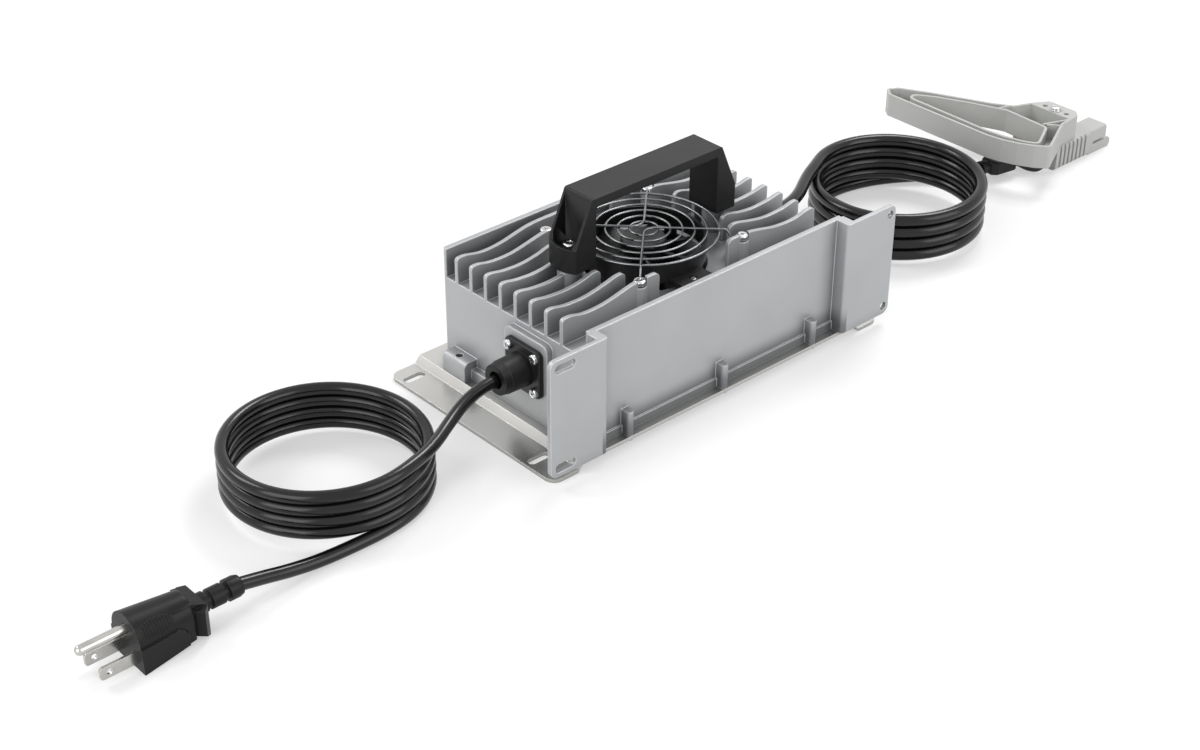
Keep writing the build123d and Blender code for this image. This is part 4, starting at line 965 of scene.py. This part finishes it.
@dataclass
class CarryingHandle:
    """Handle with a level rim round each foot's pocket, and the two screws in its feet."""

    screw: ScrewSize = ScrewSize(0.0037, 0.0024, 0.0019)
    rim_height: float = 0.0848
    rim_x: float = 0.0558
    shoulder_height: float = 0.10895
    shoulder_x: float = 0.04543
    cut_margin: float = 0.01
    edge_tolerance: float = 0.0001
    smooth_angle: float = math.radians(25)

    def _rim_cutter(self, side: float) -> Object:
        """Shapes the block that levels the rim of one foot and straightens its leg.

        Args:
            side: 1 for the foot at the output end, -1 for the other.

        Returns:
            The cutter.
        """
        low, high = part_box("handle")
        outer = high.x + self.cut_margin
        top = high.z + self.cut_margin
        block = add_block(
            (outer - self.rim_x, high.y - low.y + 2 * self.cut_margin, top - self.rim_height),
            (side * (self.rim_x + outer) / 2, (low.y + high.y) / 2, (self.rim_height + top) / 2),
        )
        lean = (self.rim_x - self.shoulder_x) / (self.shoulder_height - self.rim_height)
        with edit_mode():
            pick(
                block,
                Part.EDGES,
                lambda edge: all(
                    vert.co.z > self.shoulder_height and abs(vert.co.x) < self.rim_x + self.edge_tolerance
                    for vert in edge.verts
                ),
            )
            bpy.ops.transform.translate(value=(-side * lean * (top - self.rim_height), 0, 0))
        return block

    def build(self, wardrobe: Wardrobe) -> None:
        """Makes the handle and its screws.

        Args:
            wardrobe: The finishes.
        """
        handle = merged_copy("handle", "carrying_handle")
        for side in (-1.0, 1.0):
            carve(handle, self._rim_cutter(side))
        bpy.ops.object.shade_smooth_by_angle(angle=self.smooth_angle)
        wardrobe.finish(handle, "handle_plastic", Body.CHARGER, ("handle",))
        upright_screws("handle_foot_screws", "handle_screws", self.screw, 2, 1).build(wardrobe)


@dataclass
class CordGland:
    """Gland of one end, its gasket and its four screws.

    seat_radius is that of the heads in the CAD node, which places the screws.
    """

    end: str
    outward: float
    seat_radius: float = 0.00225
    screw: ScrewSize = ScrewSize(0.0027, 0.0021, 0.0012)
    first_turn: float = 0.4
    turn_step: float = 0.9

    def build(self, wardrobe: Wardrobe) -> None:
        """Dresses the gland and makes its screws.

        Args:
            wardrobe: The finishes.
        """
        wardrobe.dress("gland_plastic", self.end + "_gland")
        wardrobe.dress("gasket_rubber", self.end + "_gasket")
        node = self.end + "_gland_screws"
        low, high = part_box(node)
        height = self.screw.head_height
        face = high.x - height if self.outward > 0 else low.x + height
        facing = Matrix.Rotation(math.copysign(math.pi / 2, self.outward), 4, "Y")
        places = [
            (face, y, z)
            for y in (low.y + self.seat_radius, high.y - self.seat_radius)
            for z in (low.z + self.seat_radius, high.z - self.seat_radius)
        ]
        PanScrews(
            self.end + "_gland_corner_screws", node, self.screw,
            seats=seats_at(places, facing, self.first_turn, self.turn_step),
            shank_length=high.x - low.x - height,
        ).build(wardrobe)


@dataclass
class PowerBoard:
    """Circuit board and what stands on it, inside the casting."""

    nodes: dict[str, tuple[str, ...]] = field(
        default_factory=lambda: {
            "board_laminate": ("circuit_board",),
            "screw_steel": ("board_screws", "board_standoffs"),
            "ferrite": ("transformer_core",),
            "winding_copper": ("transformer_winding", "choke"),
            "capacitor_sleeve": ("capacitors",),
            "plate_aluminium": ("heat_bar",),
            "transistor_case": ("power_transistors",),
        }
    )

    def build(self, wardrobe: Wardrobe) -> None:
        """Dresses the board's nodes."""
        for slot, names in self.nodes.items():
            wardrobe.dress(slot, *names)


@dataclass
class Coil:
    """Stacked turns of a cord, wound clockwise from the top turn to the floor."""

    centre_x: float
    centre_y: float
    radius: float
    start_angle: float
    turns: float
    top: float
    bottom: float
    points_per_turn: int = 16

    def points(self) -> list[Point]:
        """Works out the control points of the turns.

        Returns:
            The points, from the top turn down.
        """
        count = round(self.turns * self.points_per_turn)
        reach = self.radius / math.cos(math.pi / self.points_per_turn)
        made = []
        for i in range(count + 1):
            angle = math.radians(self.start_angle - 360 * self.turns * i / count)
            height = self.top + (self.bottom - self.top) * i / count
            x = self.centre_x + reach * math.cos(angle)
            y = self.centre_y + reach * math.sin(angle)
            made.append((x, y, height))
        return made


@dataclass
class LaidCord:
    """A round cord on one smooth line: a lead, a coil and a tail."""

    name: str
    diameter: float
    lead: list[Point]
    coil: Coil
    tail: list[Point]
    length: float
    far_end: FarEnd
    replaced: tuple[str, ...]
    carried: list[str]
    slot: str = "cord_sheath"
    steps_per_point: int = 6
    section_steps: int = 6

    def build(self, wardrobe: Wardrobe) -> Object:
        """Args:
            wardrobe: The finishes.

        Returns:
            The cord.
        """
        route = self.lead + self.coil.points() + self.tail
        curve = bpy.data.curves.new(self.name, "CURVE")
        curve.dimensions = "3D"
        line = curve.splines.new("NURBS")
        line.points.add(len(route) - 1)
        for point, place in zip(line.points, route):
            point.co = (*place, 1.0)
        line.order_u = 3
        line.use_endpoint_u = True
        line.resolution_u = self.steps_per_point
        curve.bevel_depth = self.diameter / 2
        curve.bevel_resolution = self.section_steps
        curve.use_fill_caps = True
        cord = add_object(self.name, curve)
        wardrobe.finish(cord, self.slot, Body.CHARGER, self.replaced)
        return cord


@dataclass
class ThumbGrip:
    """Oval patch of fine ribs on the rounded top of the plug."""

    middle_x: float = -0.3300
    axis_y: float = PLUG_AXIS_Y
    axis_z: float = 0.0140
    crown_radius: float = 0.0118
    rise: float = 0.0004
    rib_width: float = 0.0007
    rib_pitch: float = 0.0015
    rib_count: int = 11
    half_length: float = 0.0088
    half_width: float = 0.0043
    depth: float = 0.004
    lean: float = math.radians(58)
    sides: int = 120

    def build(self) -> Object:
        """Makes the ribs as thin rings and keeps the part of them that lies in the oval.

        Returns:
            The ribs as one piece.
        """
        rings = []
        for i in range(self.rib_count):
            deselect()
            x = self.middle_x + self.rib_pitch * (i - (self.rib_count - 1) / 2)
            bpy.ops.mesh.primitive_cylinder_add(
                vertices=self.sides, radius=self.crown_radius + self.rise, depth=self.rib_width,
                location=(x, self.axis_y, self.axis_z), rotation=(0, math.pi / 2, 0),
            )
            settle()
            rings.append(bpy.context.object)
        ribs = join(rings, "plug_thumb_ribs")
        deselect()
        bpy.ops.mesh.primitive_cylinder_add(
            vertices=self.sides, radius=1, depth=1, rotation=(self.lean, 0, 0),
            location=(
                self.middle_x,
                self.axis_y - self.crown_radius * math.sin(self.lean),
                self.axis_z + self.crown_radius * math.cos(self.lean),
            ),
        )
        oval = bpy.context.object
        oval.scale = (self.half_length, self.half_width, self.depth)
        settle()
        carve(ribs, oval, Carve.WITHIN)
        return ribs


@dataclass
class MouldedPlug:
    """Plug body that tapers towards its collar, with ribs on its crown."""

    taper: float = -0.26
    axis_y: float = PLUG_AXIS_Y
    axis_z: float = 0.012
    collar_x: float = -0.3095
    collar_end_x: float = -0.306
    collar_gain: float = 1.3
    smooth_angle: float = math.radians(12)

    def build(self, wardrobe: Wardrobe) -> Object:
        """Tapers a copy of the body and its ribs, then widens the collar again.

        Args:
            wardrobe: The finishes.

        Returns:
            The plug body.
        """
        low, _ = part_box("plug_body")
        body = merged_copy("plug_body", "moulded_plug")
        plug = join([body, ThumbGrip().build()], "moulded_plug")
        pivot = add_object("plug_pivot", None)
        pivot.location = (low.x, self.axis_y, self.axis_z)
        bpy.context.view_layer.update()
        activate(plug)
        shrink = plug.modifiers.new("taper", "SIMPLE_DEFORM")
        shrink.deform_method = "TAPER"
        shrink.deform_axis = "X"
        shrink.factor = self.taper
        shrink.origin = pivot
        bpy.ops.object.modifier_apply(modifier=shrink.name)
        bpy.data.objects.remove(pivot)
        middle = (0, self.axis_y, self.axis_z)
        with edit_mode():
            for start, gain in (
                (self.collar_x, (1, self.collar_gain, 1)), (self.collar_end_x, (1, 1, self.collar_gain)),
            ):
                pick(plug, Part.EDGES, lambda edge: all(vert.co.x > start for vert in edge.verts))
                bpy.ops.transform.resize(value=gain, center_override=middle)
        bpy.ops.object.shade_smooth_by_angle(angle=self.smooth_angle)
        return wardrobe.finish(plug, "plug_vinyl", Body.CHARGER, ("plug_body",))


@dataclass
class StrainRelief:
    """Round strain relief behind the plug, with two deep grooves that let it bend.

    The profile gives a share of the length and the radius there, from the plug to the cord.
    """

    sides: int = 56
    smooth_angle: float = math.radians(30)
    profile: tuple[tuple[float, float], ...] = (
        (0.0, 0.0050), (0.15, 0.0050), (0.15, 0.0039), (0.26, 0.0039), (0.26, 0.0049),
        (0.57, 0.0049), (0.57, 0.0039), (0.68, 0.0039), (0.68, 0.0053), (0.9, 0.0053), (1.0, 0.0047),
    )

    def build(self, wardrobe: Wardrobe) -> Object:
        """Draws the relief out of a disc, step by step along its profile.

        Args:
            wardrobe: The finishes.

        Returns:
            The relief.
        """
        low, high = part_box("plug_strain_relief")
        middle = (low + high) / 2
        deselect()
        bpy.ops.mesh.primitive_circle_add(
            vertices=self.sides, radius=self.profile[0][1], fill_type="NGON",
            location=(low.x, middle.y, middle.z), rotation=(0, math.pi / 2, 0),
        )
        relief = bpy.context.object
        relief.name = "ringed_strain_relief"
        settle()
        with edit_mode():
            bpy.ops.mesh.select_all(action="SELECT")
            for (start, radius), (end, next_radius) in zip(self.profile, self.profile[1:]):
                gain = next_radius / radius
                bpy.ops.mesh.extrude_region_move(
                    TRANSFORM_OT_translate={"value": ((end - start) * (high.x - low.x), 0, 0)}
                )
                bpy.ops.transform.resize(value=(1, gain, gain), center_override=tuple(middle))
            bpy.ops.mesh.select_all(action="SELECT")
            bpy.ops.mesh.normals_make_consistent(inside=False)
        bpy.ops.object.shade_smooth_by_angle(angle=self.smooth_angle)
        return wardrobe.finish(relief, "plug_vinyl", Body.CHARGER, ("plug_strain_relief",))


@dataclass
class MainsLead:
    """Mains cord with its strain relief and plug."""

    diameter: float = 0.0066
    length: float = 1.43

    def build(self, wardrobe: Wardrobe) -> None:
        """Lays the cord and dresses the plug.

        Args:
            wardrobe: The finishes.
        """
        relief = StrainRelief().build(wardrobe)
        wardrobe.dress("plated_brass", "plug_blades", "earth_pin")
        plug = MouldedPlug().build(wardrobe)
        LaidCord(
            "mains_cord",
            self.diameter,
            lead=[
                (-0.1040, -0.0208, 0.0347),
                (-0.1180, -0.0208, 0.0347),
                (-0.1330, -0.0226, 0.0322),
                (-0.1488, -0.0294, 0.0294),
                (-0.1645, -0.0388, 0.0292),
            ],
            coil=Coil(-0.1998, 0.0008, 0.0491, -70.0, 4.06, 0.0300, 0.0034),
            tail=[
                (-0.2220, -0.0491, 0.0034),
                (-0.2410, -0.0482, 0.0037),
                (-0.2575, -0.0478, 0.0062),
                (-0.2705, -0.0480, 0.0096),
                (-0.2830, -0.0483, 0.0124),
            ],
            length=self.length,
            far_end=FarEnd.PLUG,
            replaced=("input_lead", "input_coil", "input_tail"),
            carried=[relief.name, plug.name, "plug_blades", "earth_pin"],
        ).build(wardrobe)


@dataclass
class OutputLead:
    """Output cord with the boot that splits it, and the two short leads from there."""

    diameter: float = 0.0074
    length: float = 1.43

    def build(self, wardrobe: Wardrobe, connector: list[str]) -> None:
        """Lays the cord and dresses the boot and leads.

        Args:
            wardrobe: The finishes.
            connector: The pieces of the connector on its end.
        """
        wardrobe.dress("boot_rubber", "cord_boot")
        wardrobe.dress("black_sleeve", "black_lead")
        wardrobe.dress("red_sleeve", "red_lead")
        LaidCord(
            "output_cord",
            self.diameter,
            lead=[
                (0.1040, 0.0110, 0.0347),
                (0.1190, 0.0110, 0.0347),
                (0.1335, 0.0136, 0.0342),
                (0.1467, 0.0192, 0.0337),
                (0.1580, 0.0262, 0.0336),
                (0.1690, 0.0326, 0.0336),
            ],
            coil=Coil(0.2093, -0.0016, 0.0482, 128.0, 4.11, 0.0336, 0.0038),
            tail=[
                (0.2310, 0.0439, 0.0038),
                (0.2475, 0.0366, 0.0038),
                (0.2615, 0.0264, 0.0042),
                (0.2730, 0.0159, 0.0056),
                (0.2826, 0.0082, 0.0070),
                (0.2920, 0.0022, 0.0080),
            ],
            length=self.length,
            far_end=FarEnd.FITTING,
            replaced=("output_lead", "output_coil", "output_tail"),
            carried=["cord_boot", "black_lead", "red_lead", *connector],
        ).build(wardrobe)


@dataclass
class OutputConnector:
    """Two-pole connector with its pull grip.

    seat_radius is that of the head in the CAD node, which places the screw.
    """

    seat_radius: float = 0.0028
    screw: ScrewSize = ScrewSize(0.0032, 0.0018, 0.0014)

    def build(self, wardrobe: Wardrobe) -> list[str]:
        """Dresses the connector and makes the grip's screw.

        Args:
            wardrobe: The finishes.

        Returns:
            The names of the connector's pieces.
        """
        wardrobe.dress("connector_grey", "connector_housing", "connector_grip")
        wardrobe.dress("plated_brass", "connector_contacts")
        wardrobe.dress("bright_steel", "grip_washer")
        screw = upright_screws(
            "grip_head_screw", "grip_screw", self.screw, 1, 1, seat_radius=self.seat_radius
        ).build(wardrobe)
        return ["connector_housing", "connector_contacts", "connector_grip", "grip_washer", screw.name]


@dataclass(frozen=True)
class Lamp:
    """A soft square lamp, with its place, the length of its side and its power in watts."""

    name: str
    place: Point
    size: float
    power: float


@dataclass
class Studio:
    """Pale floor, soft light and the camera at the photograph's angle."""

    floor_reach: float = 6.0
    floor_colour: Colour = shade(206, 206, 206)
    floor_lift: float = 0.42
    fill_strength: float = 0.42
    camera_place: Point = (-0.66272, -0.70617, 0.59104)
    camera_forward: Point = (0.56757, 0.62747, -0.53306)
    camera_right: Point = (0.7435, -0.6687, 0.0045)
    lens: float = 63.317
    sensor_width: float = 36.0
    clip_start: float = 0.01
    clip_end: float = 50.0
    lamp_target: Point = (0.0, 0.0, 0.03)
    lamps: tuple[Lamp, ...] = (
        Lamp("key", (1.0, 0.35, 1.4), 0.6, 12.0),
        Lamp("rim", (-0.8, 1.2, 1.3), 0.7, 9.0),
        Lamp("front", (0.5, -1.7, 0.8), 1.4, 13.0),
        Lamp("side", (-1.8, -0.3, 0.7), 1.4, 17.0),
    )

    def _seen(self, wiring: Wiring) -> NodeSocket:
        """Masks the rays that come from the camera, a reflection or through glass.

        Args:
            wiring: The wiring of the floor's or the world's tree.

        Returns:
            The socket of the mask.
        """
        path = wiring.add("ShaderNodeLightPath")
        opaque = wiring.compute("ADD", path.outputs["Is Camera Ray"], path.outputs["Is Glossy Ray"])
        return wiring.compute("ADD", opaque, path.outputs["Is Transmission Ray"], clamp=True)

    def _floor(self) -> None:
        """Lays the floor, a shade lighter to the eye than its light makes it."""
        deselect()
        bpy.ops.mesh.primitive_plane_add(size=2 * self.floor_reach, location=(0, 0, 0))
        floor = bpy.context.object
        floor.name = "studio_floor"
        material = bpy.data.materials.new("studio_floor")
        material.use_nodes = True
        wiring = Wiring(material.node_tree)
        wiring.feed(
            material.node_tree.nodes["Principled BSDF"],
            {
                "Base Color": self.floor_colour,
                "Roughness": 1.0,
                "Specular IOR Level": 0.0,
                "Emission Color": WHITE,
                "Emission Strength": wiring.compute("MULTIPLY", self._seen(wiring), self.floor_lift),
            },
        )
        floor.data.materials.append(material)

    def _world(self) -> None:
        """Sets an even fill that shows as white behind the object."""
        world = bpy.data.worlds.new("studio")
        bpy.context.scene.world = world
        world.use_nodes = True
        wiring = Wiring(world.node_tree)
        strength = wiring.spread(self._seen(wiring), self.fill_strength, 1.0)
        wiring.feed(world.node_tree.nodes["Background"], {"Color": WHITE, "Strength": strength})

    def _lamp(self, lamp: Lamp) -> None:
        """Hangs a lamp so that it faces the object.

        Args:
            lamp: The lamp.
        """
        light = bpy.data.lights.new(lamp.name, "AREA")
        light.shape = "SQUARE"
        light.size = lamp.size
        light.energy = lamp.power
        holder = add_object(lamp.name, light)
        holder.location = lamp.place
        aim = Vector(self.lamp_target) - Vector(lamp.place)
        holder.rotation_euler = aim.to_track_quat("-Z", "Y").to_euler()

    def _camera(self) -> None:
        """Places the camera as the photograph's was."""
        camera = bpy.data.cameras.new("camera")
        camera.lens = self.lens
        camera.sensor_width = self.sensor_width
        camera.sensor_fit = "HORIZONTAL"
        camera.clip_start = self.clip_start
        camera.clip_end = self.clip_end
        holder = add_object("camera", camera)
        forward = Vector(self.camera_forward).normalized()
        right = Vector(self.camera_right)
        right = (right - forward * right.dot(forward)).normalized()
        up = right.cross(forward)
        turn = Matrix((right, up, -forward)).transposed().to_4x4()
        holder.matrix_world = Matrix.Translation(self.camera_place) @ turn
        bpy.context.scene.camera = holder

    def build(self) -> None:
        """Sets up the floor, the light and the camera."""
        self._floor()
        self._world()
        for lamp in self.lamps:
            self._lamp(lamp)
        self._camera()
        bpy.context.scene.view_settings.view_transform = "Standard"


def main() -> None:
    """Builds the sub-assemblies in order."""
    logging.basicConfig(level=logging.INFO, format="%(message)s")
    wardrobe = Wardrobe()
    Studio().build()
    MainsLead().build(wardrobe)
    OutputLead().build(wardrobe, OutputConnector().build(wardrobe))
    Casework().build(wardrobe)
    CoolingFan().build(wardrobe)
    CarryingHandle().build(wardrobe)
    CordGland("input", -1.0).build(wardrobe)
    CordGland("output", 1.0).build(wardrobe)
    PowerBoard().build(wardrobe)
    deselect()


if __name__ == "__main__":
    main()
